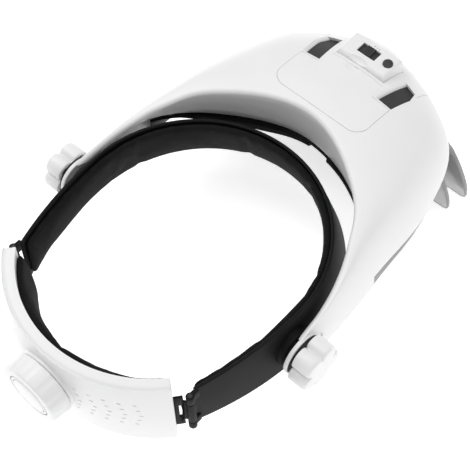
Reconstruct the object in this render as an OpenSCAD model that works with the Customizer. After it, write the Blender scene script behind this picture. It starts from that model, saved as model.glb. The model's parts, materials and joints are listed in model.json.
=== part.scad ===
// Lighted headband magnifier: a padded head band with a ratchet at the nape, and a tilting
// visor that carries the batteries, the lamp and two lens plates.
// The front faces -Y, the wearer's right is -X and up is +Z. The origin is the centre of the
// head opening, at mid height of the band, on the level line through both star knobs.

/* [Head band] */
// Radius of the band's front arc at its top edge
band_r = 76.5; // [74:0.5:79]
// Distance of the front arc's centre in front of the star knobs
band_centre = 9; // [6:0.5:12]
// Radius of the long side arcs
side_r = 230; // [215:5:260]
// Turn of each side arc, from the front arc to the hinge
side_turn = 17.5; // [17:0.1:17.8]
// Height of the band
band_h = 36; // [33:1:38]
// Wall of the band
band_t = 2; // [1.6:0.1:2.2]
// How far the foot of the band stands out at the sides
side_lean = 5.6; // [4:0.2:5.8]
// How far the foot of the band stands out at the front
front_lean = 12; // [9:0.5:14]

/* [Pads] */
// Thickness of the forehead pad
pad_t = 7; // [5:0.5:9]
// Height of the forehead pad
pad_h = 33; // [28:1:34]
// Thickness of the nape pad
nape_pad_t = 7; // [5:0.5:8]
// Gap between a pad and its backing
pad_gap = 0.3; // [0.2:0.1:0.5]

/* [Tilt pivots] */
// Height of the tilt axis under the middle of the band
pivot_drop = 3; // [2:0.5:4]
// Distance from the band's side, at its top edge, to a visor arm's inner face
arm_gap = 5.9; // [5.7:0.1:6.6]
// Thickness of an arm's round end
arm_end_t = 4.4; // [4:0.1:4.8]
// Radius of an arm's round end
arm_end_r = 14; // [13.5:0.5:15]
// Depth of the washer's seat in an arm's round end
seat_depth = 1.4; // [1:0.1:1.8]
// Radius of the pivot bolt
bolt_r = 3; // [2.5:0.1:3.2]
// Radius of the bolt's head
bolt_head_r = 6; // [5:0.5:7]
// Thickness of the bolt's head
bolt_head_t = 1.2; // [1:0.1:1.4]
// Thickness of the friction washer
washer_t = 2.8; // [2:0.1:4]
// Radius of the friction washer
washer_r = 12; // [11:0.2:12.4]
// Thickness of a star knob
star_t = 12; // [10:0.5:14]
// Outer radius of a star knob
star_r = 15; // [14:0.5:17]
// Lobes of a star knob
star_lobes = 5; // [4:1:8]

/* [Nape unit] */
// Radius of the nape unit's inner face
nape_r = 74.4; // [72:0.2:76]
// Distance of the nape arc's centre behind the star knobs
nape_centre = 20; // [18:0.5:22]
// Half of the angle that the nape unit spans
nape_half = 50; // [46:1:52]
// Top edge of the nape unit
nape_top = 32; // [29:0.5:34]
// Bottom edge of the nape unit, under the middle of the band
nape_bottom = 27; // [25:0.5:29]
// Depth of the nape unit at its top and foot
nape_depth = 7; // [6.5:0.1:8]
// How far its back swells past that depth
nape_swell = 2.6; // [1.5:0.1:3.2]
// Wall of the nape unit
nape_wall = 1.8; // [1.5:0.1:2]

/* [Size ratchet] */
// Height of the ratchet axis
ratchet_z = 6.3; // [5:0.1:8]
// Radius of the size knob's face
size_knob_r = 19; // [18:0.5:21]
// How far the size knob's base stands out past its face
size_knob_flare = 1; // [0.6:0.2:1.4]
// Height of the size knob
size_knob_h = 12; // [10:0.5:14]
// Grip flutes round the size knob
size_knob_flutes = 12; // [8:1:16]
// Teeth of the pinion
pinion_teeth = 18; // [16:2:20]
// Pitch radius of the pinion
pinion_r = 9; // [8.6:0.1:9.4]
// Thickness of the racks and of the straps
strap_t = 1.6; // [1.4:0.1:1.8]
// Height of a strap
strap_h = 32; // [28:1:34]
// Radius of the hinge pins
hinge_pin_r = 1.3; // [1.2:0.1:1.5]
// Radius of the hinge knuckles
knuckle_r = 3; // [2.8:0.1:3.2]

/* [Visor] */
// Wall of the visor
visor_wall = 2.2; // [2:0.1:2.4]
// Rounding of the visor's rear edge
visor_round = 3; // [2.6:0.1:3.4]
// Height of the visor's rear wall at the middle
rear_wall_h = 30; // [26:1:32]
// Thickness of the black underside cover
liner_t = 2.4; // [2:0.1:3]

/* [Battery lid] */
// Half width of the battery lid
lid_half_w = 33; // [30:0.5:33]
// Rear edge of the battery lid, from the star knobs
lid_rear = 108.6; // [107.6:0.2:110.6]
// Front edge of the battery lid, from the star knobs
lid_front = 147.6; // [146:0.2:147.8]
// Corner radius of the battery lid
lid_corner = 9; // [7:0.5:10]
// Gap round the battery lid
lid_gap = 0.35; // [0.3:0.05:0.5]
// Radius of a battery
battery_r = 5.2; // [5.1:0.05:5.25]
// Length of a battery
battery_l = 44.5; // [43.5:0.5:44.5]

/* [Controls] */
// Half width of the control housing
ctrl_half_w = 17.5; // [17:0.1:18.5]
// Rear face of the control housing, from the star knobs
ctrl_rear = 150; // [149.8:0.1:150.4]
// Front face of the control housing, from the star knobs
ctrl_front = 169.4; // [169:0.1:171]
// Height of the control housing's top
ctrl_top = 33; // [32:0.2:35]
// Wall of the control housing
ctrl_wall = 1.3; // [1.2:0.1:1.5]
// Length of the switch window
switch_w = 13; // [12:0.2:13.4]
// Depth of the switch window
switch_d = 7.4; // [7:0.1:8]
// Travel of the switch to each side
switch_travel = 3; // [2:0.2:3]
// Radius of the push button
button_r = 3; // [2.6:0.1:3.1]
// Travel of the push button
button_travel = 0.8; // [0.6:0.1:0.9]

/* [Lens plates] */
// Thickness of a lens plate
lens_t = 3; // [2.4:0.1:3.4]
// Foot of the lens plates, under the middle of the band
lens_foot = 50; // [46:1:52]
// Half width of the rear plate at its foot
main_lens_half_w = 74; // [68:1:76]
// Half width of the front plate at its foot
front_lens_half_w = 77; // [70:1:79]
// Distance of the rear plate from the star knobs
main_lens_y = 153; // [151:0.5:155]
// Distance of the front plate from the star knobs
front_lens_y = 167; // [165:0.5:168]
// Radius of the lens pins
lens_pin_r = 1.2; // [1:0.1:1.4]

/* [Lamp] */
// Half width of the lamp
lamp_half_w = 18; // [16:0.5:19]
// Radius of the lamp's pins
lamp_pin_r = 1.2; // [1:0.1:1.4]

/* [Hidden] */
$fn = 48;
slack = 0.05;
arm_x = band_r + arm_gap;
white = [0.92, 0.92, 0.93];
black = [0.13, 0.13, 0.14];
grey = [0.28, 0.28, 0.29];
steel = [0.75, 0.76, 0.78];
clear = [0.62, 0.64, 0.66, 0.5];

// Closed skin over rings of points, all with the same count, joined in order, with flat ends
module skin(rings) {
    n = len(rings[0]);
    m = len(rings);
    sides = [for (i = [0:m - 2]) for (j = [0:n - 1]) let (k = (j + 1) % n)
        each [[i * n + j, (i + 1) * n + k, i * n + k], [i * n + j, (i + 1) * n + j, (i + 1) * n + k]]];
    first = [[for (j = [0:n - 1]) j]];
    last = [[for (j = [n - 1:-1:0]) (m - 1) * n + j]];
    polyhedron(points = [for (r = rings) each r], faces = concat(first, sides, last));
}

module both_sides() {
    children();
    mirror([1, 0, 0]) children();
}

// Head band: stations from the wearer's left hinge round the front to the right one, each
// with its place, its outward direction, and how much of the front's lean and of the sides'
// lean it has, each from 0 to 1
front_steps = 36;
side_steps = 13;
hinge_upright = 0.9;
function side_station(a) = [[band_r - side_r + side_r * cos(a), side_r * sin(a) - band_centre],
    [cos(a), sin(a)], 0, 1 - hinge_upright * pow(a / side_turn, 1.5)];
function front_station(a) = [[band_r * cos(a), band_r * sin(a) - band_centre],
    [cos(a), sin(a)], pow(sin(a), 2), 1];
function flip(s) = [[-s[0].x, s[0].y], [-s[1].x, s[1].y], s[2], s[3]];
function stations(start) = concat(
    [for (i = [0:side_steps - 1]) side_station(start * (1 - i / side_steps))],
    [for (i = [0:front_steps]) front_station(-180 * i / front_steps)],
    [for (i = [1:side_steps]) flip(side_station(start * i / side_steps))]);
function lean(s) = side_lean * s[3] + (front_lean - side_lean) * s[2];
// Out from the band's face at height z, by off, at a station
function band_point(s, off, z) = let (r = off + lean(s) * (band_h / 2 - z) / band_h)
    [s[0].x + s[1].x * r, s[0].y + s[1].y * r, z];
hinge = side_station(side_turn)[0];
hinge_x = hinge.x + 0.6;
hinge_y = hinge.y + 4.2;
boss_x = arm_x - 0.3;
boss_r = 12;
boss_root = band_r + 0.6;
boss_l = boss_x - boss_root;

module along_x(x, y, z, l, r) translate([x, y, z]) rotate([0, 90, 0]) cylinder(h = l, r = r);

knuckle_l = 7;
module front_band() color(black) difference() {
    union() {
        skin([for (s = stations(side_turn)) [band_point(s, -band_t, band_h / 2),
            band_point(s, -band_t, -band_h / 2), band_point(s, 0, -band_h / 2),
            band_point(s, 0, band_h / 2)]]);
        both_sides() {
            along_x(boss_root, 0, -pivot_drop, boss_l, boss_r);
            for (z = [band_h / 2 - knuckle_l, -band_h / 2]) {
                translate([hinge_x, hinge_y, z]) cylinder(h = knuckle_l, r = knuckle_r);
                translate([hinge.x - 1.5, hinge.y - 1.5, z])
                    cube([3.6, 5.5, knuckle_l]);
            }
        }
    }
    both_sides() {
        along_x(boss_x - 12, 0, -pivot_drop, 12.1, bolt_r + slack);
        along_x(boss_x - 20, 0, -pivot_drop, 18.3, bolt_head_r + 0.2);
        translate([hinge_x, hinge_y, -band_h]) cylinder(h = 2 * band_h, r = hinge_pin_r + slack);
        translate([hinge_x, hinge_y, -band_h / 2 + knuckle_l])
            cylinder(h = band_h - 2 * knuckle_l, r = knuckle_r + 0.4);
    }
}

// Heights on a pad's face, from its top edge to its foot, as shares of half its height
pad_rows = [0.98, 0.8, 0.4, -0.1, -0.6, -0.9];
// Thickness of a crowned pad there, as a share of its full thickness
function crown(v) = 0.42 + 0.58 * sqrt(1 - v * v);
// Sewn channels draw the pad in at four places round the front arc
seams = [-20, -70, -110, -160];
function drawn(a) = 1 - 0.45 * max([for (c = seams) exp(-pow((a - c) / 2.2, 2))]);
function halfway(p, q) = [for (i = [0:3]) (p[i] + q[i]) / 2];
side_pads = concat([halfway(side_station(side_turn), side_station(side_turn * (1 - 1 / side_steps)))],
    [for (i = [1:side_steps - 1]) side_station(side_turn * (1 - i / side_steps))]);
pad_stations = concat([for (s = side_pads) concat(s, [1])],
    [for (a = [0:-5:-180]) concat(front_station(a), [drawn(a)])],
    [for (i = [side_steps - 1:-1:0]) concat(flip(side_pads[i]), [1])]);
module forehead_pad() color(black) difference() {
    skin([for (s = pad_stations) let (back = -band_t - pad_gap, h = pad_h / 2)
        concat([for (v = [-1, 1]) band_point(s, back, v * h)],
            [for (v = pad_rows) band_point(s, back - s[4] * pad_t * crown(v), v * h)])]);
    both_sides() along_x(boss_x - boss_l - pad_gap, 0, -pivot_drop, 10, boss_r + pad_gap);
}

bolt_start = boss_x - 2.9;
seat_x = arm_x + arm_end_t - seat_depth;
washer_x = seat_x + 0.2;
star_x = max(washer_x + washer_t, arm_x + arm_end_t) + 0.2;
module pivot_bolts() color(steel) both_sides() {
    along_x(bolt_start, 0, -pivot_drop, bolt_head_t, bolt_head_r);
    along_x(bolt_start, 0, -pivot_drop, star_x + star_t - 3.4 - bolt_start, bolt_r);
}

module friction_washers() color(black) both_sides() difference() {
    along_x(washer_x, 0, -pivot_drop, washer_t, washer_r);
    along_x(washer_x - 1, 0, -pivot_drop, washer_t + 2, bolt_r + slack);
}

module hinge_pins() color(steel) both_sides()
    translate([hinge_x, hinge_y, -band_h / 2 - 0.4]) cylinder(h = band_h + 0.8, r = hinge_pin_r);

// Nape unit: rings about the nape arc's centre
module nape_ring(from, to) translate([0, nape_centre, 0]) rotate([0, 0, from])
    rotate_extrude(angle = to - from, $fn = 180) children();
nape_from = 90 - nape_half;
nape_to = 90 + nape_half;
nape_mid = (nape_top - nape_bottom) / 2;
nape_high = (nape_top + nape_bottom) / 2;
cover_t = 1.6;
chamfer = 1.6;
function nape_back(z, inset) = nape_r + nape_depth - inset
    + nape_swell * (1 - pow((z - nape_mid) / nape_high, 2));
function nape_profile(inset, inner) = concat(
    [[inner, nape_top - inset], [nape_r + nape_depth - inset - chamfer, nape_top - inset]],
    [for (i = [1:11]) let (z = nape_mid + (nape_high - inset) * cos(15 * i)) [nape_back(z, inset), z]],
    [[nape_r + nape_depth - inset - chamfer, -nape_bottom + inset], [inner, -nape_bottom + inset]]);
strap_r = nape_r + 3.8;
mouth_h = strap_h + 1.2;
function nape_box(r0, r1, z0, z1) = [[r0, z0], [r1, z0], [r1, z1], [r0, z1]];
hub_r = 5;
spindle_r = 2.6;
module ratchet_axis(y, l, r) translate([0, y, ratchet_z]) rotate([-90, 0, 0]) cylinder(h = l, r = r);
back_y = nape_centre + nape_back(ratchet_z, 0);

end_wall = 1.4;
module mouth(at) nape_ring(at - 2, at + 2)
    polygon(nape_box(strap_r - strap_t / 2 - 0.5, strap_r + strap_t / 2 + 0.5, -mouth_h / 2, mouth_h / 2));
module rear_shell() color(white) difference() {
    union() {
        nape_ring(nape_from, nape_to) polygon(nape_profile(0, nape_r + cover_t + 0.1));
        ratchet_axis(back_y - 6, 6.2, size_knob_r - 0.5);
    }
    nape_ring(nape_from + end_wall, nape_to - end_wall) polygon(nape_profile(nape_wall, nape_r - 1));
    mouth(nape_from);
    mouth(nape_to);
    ratchet_axis(back_y - 10, 20, hub_r + slack);
}

screw_places = [[nape_from + 14, -17], [nape_to - 14, -17], [nape_from + 14, 24], [nape_to - 14, 24]];
module at_screws() for (p = screw_places)
    translate([0, nape_centre, p[1]]) rotate([0, 0, p[0]]) rotate([0, 90, 0]) children();
module rear_cover() color(white) difference() {
    nape_ring(nape_from, nape_to) polygon(nape_box(nape_r, nape_r + cover_t, -nape_bottom, nape_top));
    at_screws() translate([0, 0, nape_r - 1]) cylinder(h = 4, r = 1.3);
}

module cover_screws() color(steel) at_screws() translate([0, 0, nape_r + 0.2]) cylinder(h = 4.2, r = 1.25);

// The nape pad has a drawn-in channel at its middle
module rear_pad() color(black) {
    h = 21;
    mid = nape_mid;
    skin([for (i = [28:-1:0]) let (a = nape_from + 3 + (2 * nape_half - 6) * i / 28,
        thick = nape_pad_t * (1 - 0.4 * exp(-pow((a - 90) / 3, 2))) * min(1, 0.45 + min(i, 28 - i) / 5))
        concat([for (v = [-1, 1]) nape_point(a, nape_r - pad_gap, mid + v * h)],
            [for (v = pad_rows) nape_point(a, nape_r - pad_gap - thick * crown(v), mid + v * h)])]);
}
function nape_point(a, r, z) = [r * cos(a), nape_centre + r * sin(a), z];

// A strap runs from its hinge on the band into the nape unit, where a tongue joins its rack
strap_in = nape_from + 5;
tongue_in = nape_from + 21;
slot_len = 2.4;
// Turn from the nape unit's end to where the strap narrows for the band's knuckles
narrow_at = 3.7;
rack_z = 6;
rack_off = 1.1;
function rack_edge(side, v) = ratchet_z + side * (pinion_r + rack_off + v * rack_z);
function strap_box(z0, z1) =
    nape_box(strap_r - strap_t / 2, strap_r + strap_t / 2, min(z0, z1), max(z0, z1));
// One side of a strap seen from above: v is 1 on its outer side and -1 on its inner side
function strap_side(v) = concat([[hinge_x + 0.7 * v, hinge_y + 0.7 * v]],
    [for (i = [0:strap_steps]) let (turn = tongue_in - nape_from + narrow_at,
        p = nape_point(nape_from - narrow_at + turn * i / strap_steps, strap_r + v * strap_t / 2, 0))
        [p.x, p.y]]);
strap_steps = 16;
// Block between two angles about the nape arc's centre
module sector(from, to, z0, z1) translate([0, nape_centre, z0]) linear_extrude(z1 - z0)
    polygon([for (q = [[from, 0.7], [from, 1.2], [to, 1.2], [to, 0.7]])
        nape_r * q[1] * [cos(q[0]), sin(q[0])]]);
module strap(side) difference() {
    low = min(rack_edge(side, 1), rack_edge(side, side > 0 ? -1 : 0));
    high = max(rack_edge(side, 1), rack_edge(side, 0));
    top = max(strap_h / 2, high);
    union() {
        translate([0, 0, -strap_h / 2]) linear_extrude(top + strap_h / 2)
            polygon(concat(strap_side(1), reversed(strap_side(-1))));
        translate([hinge_x, hinge_y, 0]) cylinder(h = link_h + 0.6, r = knuckle_r, center = true);
    }
    sector(nape_from - 40, nape_from - narrow_at, link_h / 2, strap_h);
    sector(nape_from - 40, nape_from - narrow_at, -strap_h, -link_h / 2);
    sector(nape_from - 40, strap_in, strap_h / 2, strap_h);
    sector(strap_in, tongue_in + 2, high, strap_h);
    sector(strap_in, tongue_in + 2, -strap_h, low);
    translate([hinge_x, hinge_y, 0]) cylinder(h = band_h, r = hinge_pin_r + slack, center = true);
    translate([strap_slot.x, strap_slot.y, 0]) rotate([0, 0, nape_from - 90])
        cube([slot_len, 12, 14], center = true);
}
link_h = band_h - 2 * knuckle_l - 1.2;
function reversed(p) = [for (i = [len(p) - 1:-1:0]) p[i]];
strap_slot = nape_point(nape_from - 2.7, strap_r, 0);
module strap_left() color(black) strap(1);
module strap_right() color(black) mirror([1, 0, 0]) strap(-1);

// Racks slide round the nape arc, one above the pinion and one below it
rack_pitch = 360 * pinion_r / pinion_teeth / strap_r;
rack_reach = 24;
module rack(side) {
    nape_ring(tongue_in + 0.4, 90 + rack_reach) polygon(strap_box(rack_edge(side, 0), rack_edge(side, 1)));
    for (i = [-4:floor(rack_reach / rack_pitch)])
        translate([0, nape_centre, 0]) rotate([0, 0, i * rack_pitch])
        translate([0, strap_r, ratchet_z + side * pinion_r]) rotate([90, 0, 0])
        linear_extrude(strap_t, center = true) polygon(rack_tooth(side));
}
// Half widths of a rack tooth at its foot and tip, and how far it reaches past the pitch line
tooth_foot = 1.05;
tooth_tip = 0.35;
tooth_reach = 0.75;
function rack_tooth(side) = [[-tooth_foot, side * (rack_off + 0.1)], [-tooth_tip, -side * tooth_reach],
    [tooth_tip, -side * tooth_reach], [tooth_foot, side * (rack_off + 0.1)]];
module rack_left() color(grey) rack(1);
module rack_right() color(grey) mirror([1, 0, 0]) rack(-1);

pinion_t = 3;
module pinion() color(grey) difference() {
    translate([0, nape_centre + strap_r + 0.2, ratchet_z]) rotate([90, 0, 0])
    linear_extrude(pinion_t, center = true) {
        circle(r = pinion_r - 1.2);
        for (i = [0:pinion_teeth - 1]) rotate(90 + 360 / pinion_teeth * (i + 0.5))
            polygon([[pinion_r - 1.6, -0.95], [pinion_r + 0.65, -0.3],
                [pinion_r + 0.65, 0.3], [pinion_r - 1.6, 0.95]]);
    }
    ratchet_axis(nape_centre + nape_r, 20, spindle_r + slack);
}

knob_y = back_y + 0.5;
knob_wall = 2.2;
cap_r = 11;
module size_knob() color(white) {
    difference() {
        translate([0, knob_y, ratchet_z]) rotate([-90, 0, 0]) difference() {
            cylinder(h = size_knob_h, r1 = size_knob_r + size_knob_flare, r2 = size_knob_r, $fn = 96);
            translate([0, 0, -1]) cylinder(h = size_knob_h - knob_wall + 1, r = size_knob_r - 3.4);
            translate([0, 0, size_knob_h - 1]) rotate_extrude()
                translate([cap_r + 2, 0]) square([1, 2]);
            for (i = [0:size_knob_flutes - 1]) rotate([0, 0, i * 360 / size_knob_flutes])
                translate([size_knob_r + 9, 0, -1]) cylinder(h = size_knob_h + 2, r = 9.3);
        }
        ratchet_axis(knob_y + size_knob_h - 1.2, 4, cap_r + slack);
    }
    hub_end = knob_y + size_knob_h - 2 - nape_centre - strap_r;
    ratchet_axis(nape_centre + strap_r - 1.6, hub_end + 1.6, spindle_r);
    ratchet_axis(nape_centre + strap_r + 1.9, hub_end - 1.9, hub_r);
}
module size_knob_cap() color(white)
    ratchet_axis(knob_y + size_knob_h - 1.15, 1.4, cap_r);

module ratchet_spring() color(steel) translate([0, knob_y + 3.2, ratchet_z]) rotate([-90, 0, 0])
    difference() {
        cylinder(h = 1.2, r = size_knob_r - 4);
        translate([0, 0, -1]) cylinder(h = 4, r = hub_r + 0.3);
        for (i = [0:5]) rotate([0, 0, 60 * i]) translate([10, 0, -1]) cylinder(h = 4, r = 2.4);
    }

star_lobe_r = 7;
star_hollow_r = 2.6;
star_depth = 5.4;
module star_knob() difference() {
    for (i = [0:star_lobes - 1]) rotate_star(i)
        along_x(star_x, star_r - star_lobe_r, -pivot_drop, star_t, star_lobe_r);
    for (i = [0:star_lobes - 1]) rotate_star(i)
        along_x(star_x - 1, star_r - star_hollow_r - 2, -pivot_drop, star_t - 2, star_hollow_r);
    along_x(star_x - 1, 0, -pivot_drop, star_t - 1.8, bolt_r + slack);
    translate([star_x + 2, 0, -pivot_drop]) rotate([0, 90, 0]) cylinder(h = star_depth, r = 5.6, $fn = 6);
}
// Turned to a lobe's place; the first lobe hangs straight down
module rotate_star(i) translate([0, 0, -pivot_drop]) rotate([i * 360 / star_lobes - 90, 0, 0])
    translate([0, 0, pivot_drop]) children();
module star_knob_left() color(white) star_knob();
module star_knob_right() color(white) mirror([1, 0, 0]) star_knob();
module star_nut() difference() {
    translate([star_x + 2.1, 0, -pivot_drop]) rotate([0, 90, 0])
        cylinder(h = star_depth - 0.2, r = 5.5, $fn = 6);
    along_x(star_x, 0, -pivot_drop, star_t, bolt_r + slack);
}
module star_nut_left() color(steel) star_nut();
module star_nut_right() color(steel) mirror([1, 0, 0]) star_nut();

// Visor: points on its rear edge and on its lower edge, from the middle to the arm's end, with
// their distances from the middle plane as shares of the arm's
rear_shape = [[0, -104, 32], [0.3277, -97, 31], [0.6796, -77, 28], [0.8434, -56, 23.5],
    [0.9345, -38, 18], [0.983, -20, 13.5], [1.0036, 0, 10.6]];
low_shape = [[0, -181, 12], [0.716, -163, -3], [0.9527, -118, -12], [1.0194, -72, -14],
    [1.0534, -42, -15], [1.0655, -20, -16], [1.0716, 0, -16.6]];
rear_edge = [for (p = rear_shape) [p.x * arm_x, p.y, p.z]];
low_edge = [for (p = low_shape) [p.x * arm_x, p.y, p.z]];
wall_drop = [rear_wall_h, rear_wall_h - 1, rear_wall_h - 6, 14, 8, 6, 6];
crown_rise = [5, 5, 4, 3, 2, 1, 0.5];
last_station = len(rear_edge) - 1;
function before(p, i) = i > 0 ? p[i - 1] : is_list(p[0]) ? [-p[1].x, p[1].y, p[1].z] : p[1];
function after(p, i) = i < last_station - 1 ? p[i + 2] : 2 * p[last_station] - p[last_station - 1];
function smooth_at(p, s) = let (i = min(floor(s), last_station - 1), t = s - i,
    a = before(p, i), b = p[i], c = p[i + 1], d = after(p, i))
    b + t * ((c - a) / 2 + t * ((2 * a - 5 * b + 4 * c - d) / 2 + t * (3 * b - a - 3 * c + d) / 2));
function at_station(p, s) = s >= 0 ? smooth_at(p, s)
    : let (q = smooth_at(p, -s)) is_list(q) ? [-q.x, q.y, q.z] : q;
function flat_dir(a, b) = let (v = [b.x - a.x, b.y - a.y]) v / norm(v);
top_steps = 10;
function bezier(p, t) = pow(1 - t, 3) * p[0] + 3 * t * pow(1 - t, 2) * p[1]
    + 3 * t * t * (1 - t) * p[2] + t * t * t * p[3];
// Line of a section, inset by w, as distance out from the rear edge and height
function section_line(s, w) = let (a = at_station(rear_edge, s), b = at_station(low_edge, s),
    l = norm([b.x - a.x, b.y - a.y]), r = visor_round, q = (r - w) * sin(45),
    drop = at_station(wall_drop, s), rise = at_station(crown_rise, s))
    concat([[min(2.4, drop / 12) + w, a.z - drop], [w, a.z - r], [r - q, a.z - r + q]],
        [for (i = [0:top_steps]) bezier([[r, a.z - w], [max(r, 0.55 * l - 0.4 * w), a.z + rise - w],
            [max(r, 0.97 * l - w), b.z + 0.55 * (a.z - b.z) - 0.4 * w], [l - w, b.z]], i / top_steps)]);
function section(s, out, in) = let (a = at_station(rear_edge, s),
    e = flat_dir(a, at_station(low_edge, s)), o = section_line(s, out), q = section_line(s, in),
    n = len(o) - 1)
    [for (v = concat(o, [for (i = [n:-1:0]) q[i]])) [a.x + e.x * v.x, a.y + e.y * v.x, v.y]];
shell_steps = 26;
module visor_skin(out, in) skin([for (i = [-shell_steps:shell_steps])
    section(last_station * i / shell_steps, out, in)]);

// Where the lid narrows, from the star knobs, and its half width from there on
lid_shoulder = 136.4;
lid_tongue = 18.4;
function lid_outline(gap) = let (w = lid_half_w - gap, c = lid_corner)
    concat([for (a = [0:15:90]) [w - c + c * cos(a), -lid_rear - gap - c + c * sin(a)]],
        [for (a = [90:15:180]) [-w + c + c * cos(a), -lid_rear - gap - c + c * sin(a)]],
        [[-w, gap - lid_shoulder], [-lid_tongue - 1.6, gap - lid_shoulder],
            [-lid_tongue, gap - lid_front], [lid_tongue, gap - lid_front],
            [lid_tongue + 1.6, gap - lid_shoulder], [w, gap - lid_shoulder]]);
module upright(points, z0, z1) translate([0, 0, z0]) linear_extrude(z1 - z0) polygon(points);
function ctrl_box(grow) = rect(ctrl_half_w + grow, ctrl_rear - grow, ctrl_front + grow);
function rect(half_w, rear, front) =
    [[-half_w, -front], [half_w, -front], [half_w, -rear], [-half_w, -rear]];
vent = [[20.6, -137.6], [33, -137.4], [35.1, -153], [33, -160.8], [23.6, -163.2]];
// Side view of the recess that a side window fills
window_rear = 63.5;
window_front = 119;
function window_side(gap) = [[-window_rear - gap, -30], [-window_rear - gap, -5.8 - gap],
    [gap - window_front, -11 - gap], [gap - window_front, -30]];
module window_room(gap) both_sides() translate([arm_x - 22.4, 0, 0]) rotate([90, 0, 90])
    linear_extrude(40) polygon(window_side(gap));

bush_r = 6;
// Round recess or plate about the tilt axis, its edge eased by c at the far end
module eased_disc(x, l, r, c) hull() {
    along_x(x, 0, -pivot_drop, l - c, r);
    along_x(x, 0, -pivot_drop, l, r - c);
}
module vent_opening(v) hull() {
    upright(v, 4, 50);
    upright([for (p = v) p + [0, 0.4]], 2, 4);
}
module visor_shell() color(white) difference() {
    union() {
        visor_skin(0, visor_wall);
        both_sides() eased_disc(arm_x, arm_end_t, arm_end_r, 0.4);
    }
    both_sides() {
        eased_disc(arm_x - 5, 15, bush_r, 0.2);
        eased_disc(arm_x + arm_end_t, 10, star_r + 0.6, 0.2);
        eased_disc(seat_x, 10, washer_r + 0.4, 0.001);
        eased_disc(arm_x - 8, 8, boss_r + 0.6, 0.001);
        vent_opening(vent);
    }
    upright(lid_outline(0), 20, 60);
    upright(ctrl_box(0.15), 0, 60);
    window_room(0);
}

module pivot_bushes() color(white) both_sides() difference() {
    along_x(arm_x, 0, -pivot_drop, seat_x - arm_x, bush_r - 0.1);
    along_x(arm_x - 1, 0, -pivot_drop, arm_end_t + 2, bolt_r + slack);
}

module side_windows() color(clear) intersection() {
    visor_skin(0.4, visor_wall - 0.2);
    window_room(0.2);
}

module battery_lid() color(white) intersection() {
    visor_skin(0, 2);
    upright(lid_outline(lid_gap), 20, 60);
}

// Underside cover, from under the rear wall to the inside of the lower edge
liner_last = 3.4;
function liner_section(s) = let (p = section_line(s, 0), a = at_station(rear_edge, s),
    b = at_station(low_edge, s), e = flat_dir(a, b), n = len(p) - 1,
    r0 = p[0].x - 0.3, r1 = p[n].x - visor_wall - 1.6, z0 = p[0].y - 0.9, z1 = p[n].y + 2.2)
    [for (v = [[r0, z0], [r1, z1], [r1, z1 - liner_t], [r0, z0 - liner_t - 1]])
        [a.x + e.x * v.x, a.y + e.y * v.x, v.y]];
module visor_liner() color(black)
    skin([for (i = [-20:20]) liner_section(liner_last * i / 20)]);
// Station whose section passes over a point, then the cover's height there
function x_over(s, y) = let (a = at_station(rear_edge, s), e = flat_dir(a, at_station(low_edge, s)))
    a.x + e.x * (y - a.y) / e.y;
function station_over(x, y, lo = 0, hi = 2, n = 16) = let (m = (lo + hi) / 2)
    n == 0 ? m : x_over(m, y) < x ? station_over(x, y, m, hi, n - 1) : station_over(x, y, lo, m, n - 1);
function liner_height(x, y, i, j) = let (p = liner_section(station_over(abs(x), y)))
    p[i].z + (p[j].z - p[i].z) * (y - p[i].y) / (p[j].y - p[i].y);
function liner_top(x, y) = liner_height(x, y, 0, 1);
function liner_under(x, y) = liner_height(x, y, 3, 2);

screw_x = 26;
screw_y = -152;
module liner_screws() color(steel) for (x = [-screw_x, screw_x])
    translate([x, screw_y, liner_under(x, screw_y) - 2]) cylinder(h = 1.1, r = 2);

tray_z = 15.4;
tray_half_w = 26;
tray_rear = 113.4;
tray_front = 137.9;
tray_wall = 1.2;
battery_z = tray_z + tray_wall + battery_r + 0.3;
module battery_tray() color(black) {
    difference() {
        upright(rect(tray_half_w, tray_rear, tray_front), tray_z, 25);
        upright(rect(tray_half_w - tray_wall, tray_rear + tray_wall, tray_front - tray_wall),
            tray_z + tray_wall, 30);
    }
    for (y = [-119, -132]) let (foot = liner_top(0, y) + 0.6)
        translate([0, y, foot]) cylinder(h = tray_z + 0.2 - foot, r = 3);
}
battery_rows = [for (v = [-0.5, 0.5]) -(tray_rear + tray_front) / 2 + v * (2 * battery_r + 0.5)];
module batteries() color(steel) for (i = [0, 1]) translate([0, battery_rows[i], battery_z])
    mirror([i, 0, 0]) rotate([0, 90, 0]) {
        translate([0, 0, -battery_l / 2]) cylinder(h = battery_l - 0.8, r = battery_r);
        translate([0, 0, battery_l / 2 - 1]) cylinder(h = 1, r = 1.9);
    }
module battery_contacts() color(steel) for (y = battery_rows) for (v = [-1, 1])
    translate([v * (tray_half_w - tray_wall - 0.5), y, battery_z]) cube([0.6, 8, 8], center = true);

// Ducts under the vent openings, closed by a dark foot
duct = [[20.9, -138], [32.6, -137.8], [34.6, -153], [32.6, -160.4], [23.9, -162.8]];
duct_foot = max([for (p = duct) liner_top(p.x, p.y)]) + 0.4;
module vent_ducts() color(grey) both_sides() difference() {
    upright(duct, duct_foot, 27);
    upright([[22.3, -139.4], [31.3, -139.2], [33.2, -152.8], [31.4, -159.2], [25.2, -161]], duct_foot + 1.4, 40);
    translate([0, -138, 25]) rotate([26, 0, 0]) translate([0, -40, 0]) cube([50, 80, 30]);
}

ctrl_mid = -(ctrl_rear + ctrl_front) / 2;
switch_x = 1.4;
button_x = -12.5;
board_top = 18.8;
ceiling = ctrl_top - ctrl_wall;
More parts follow.
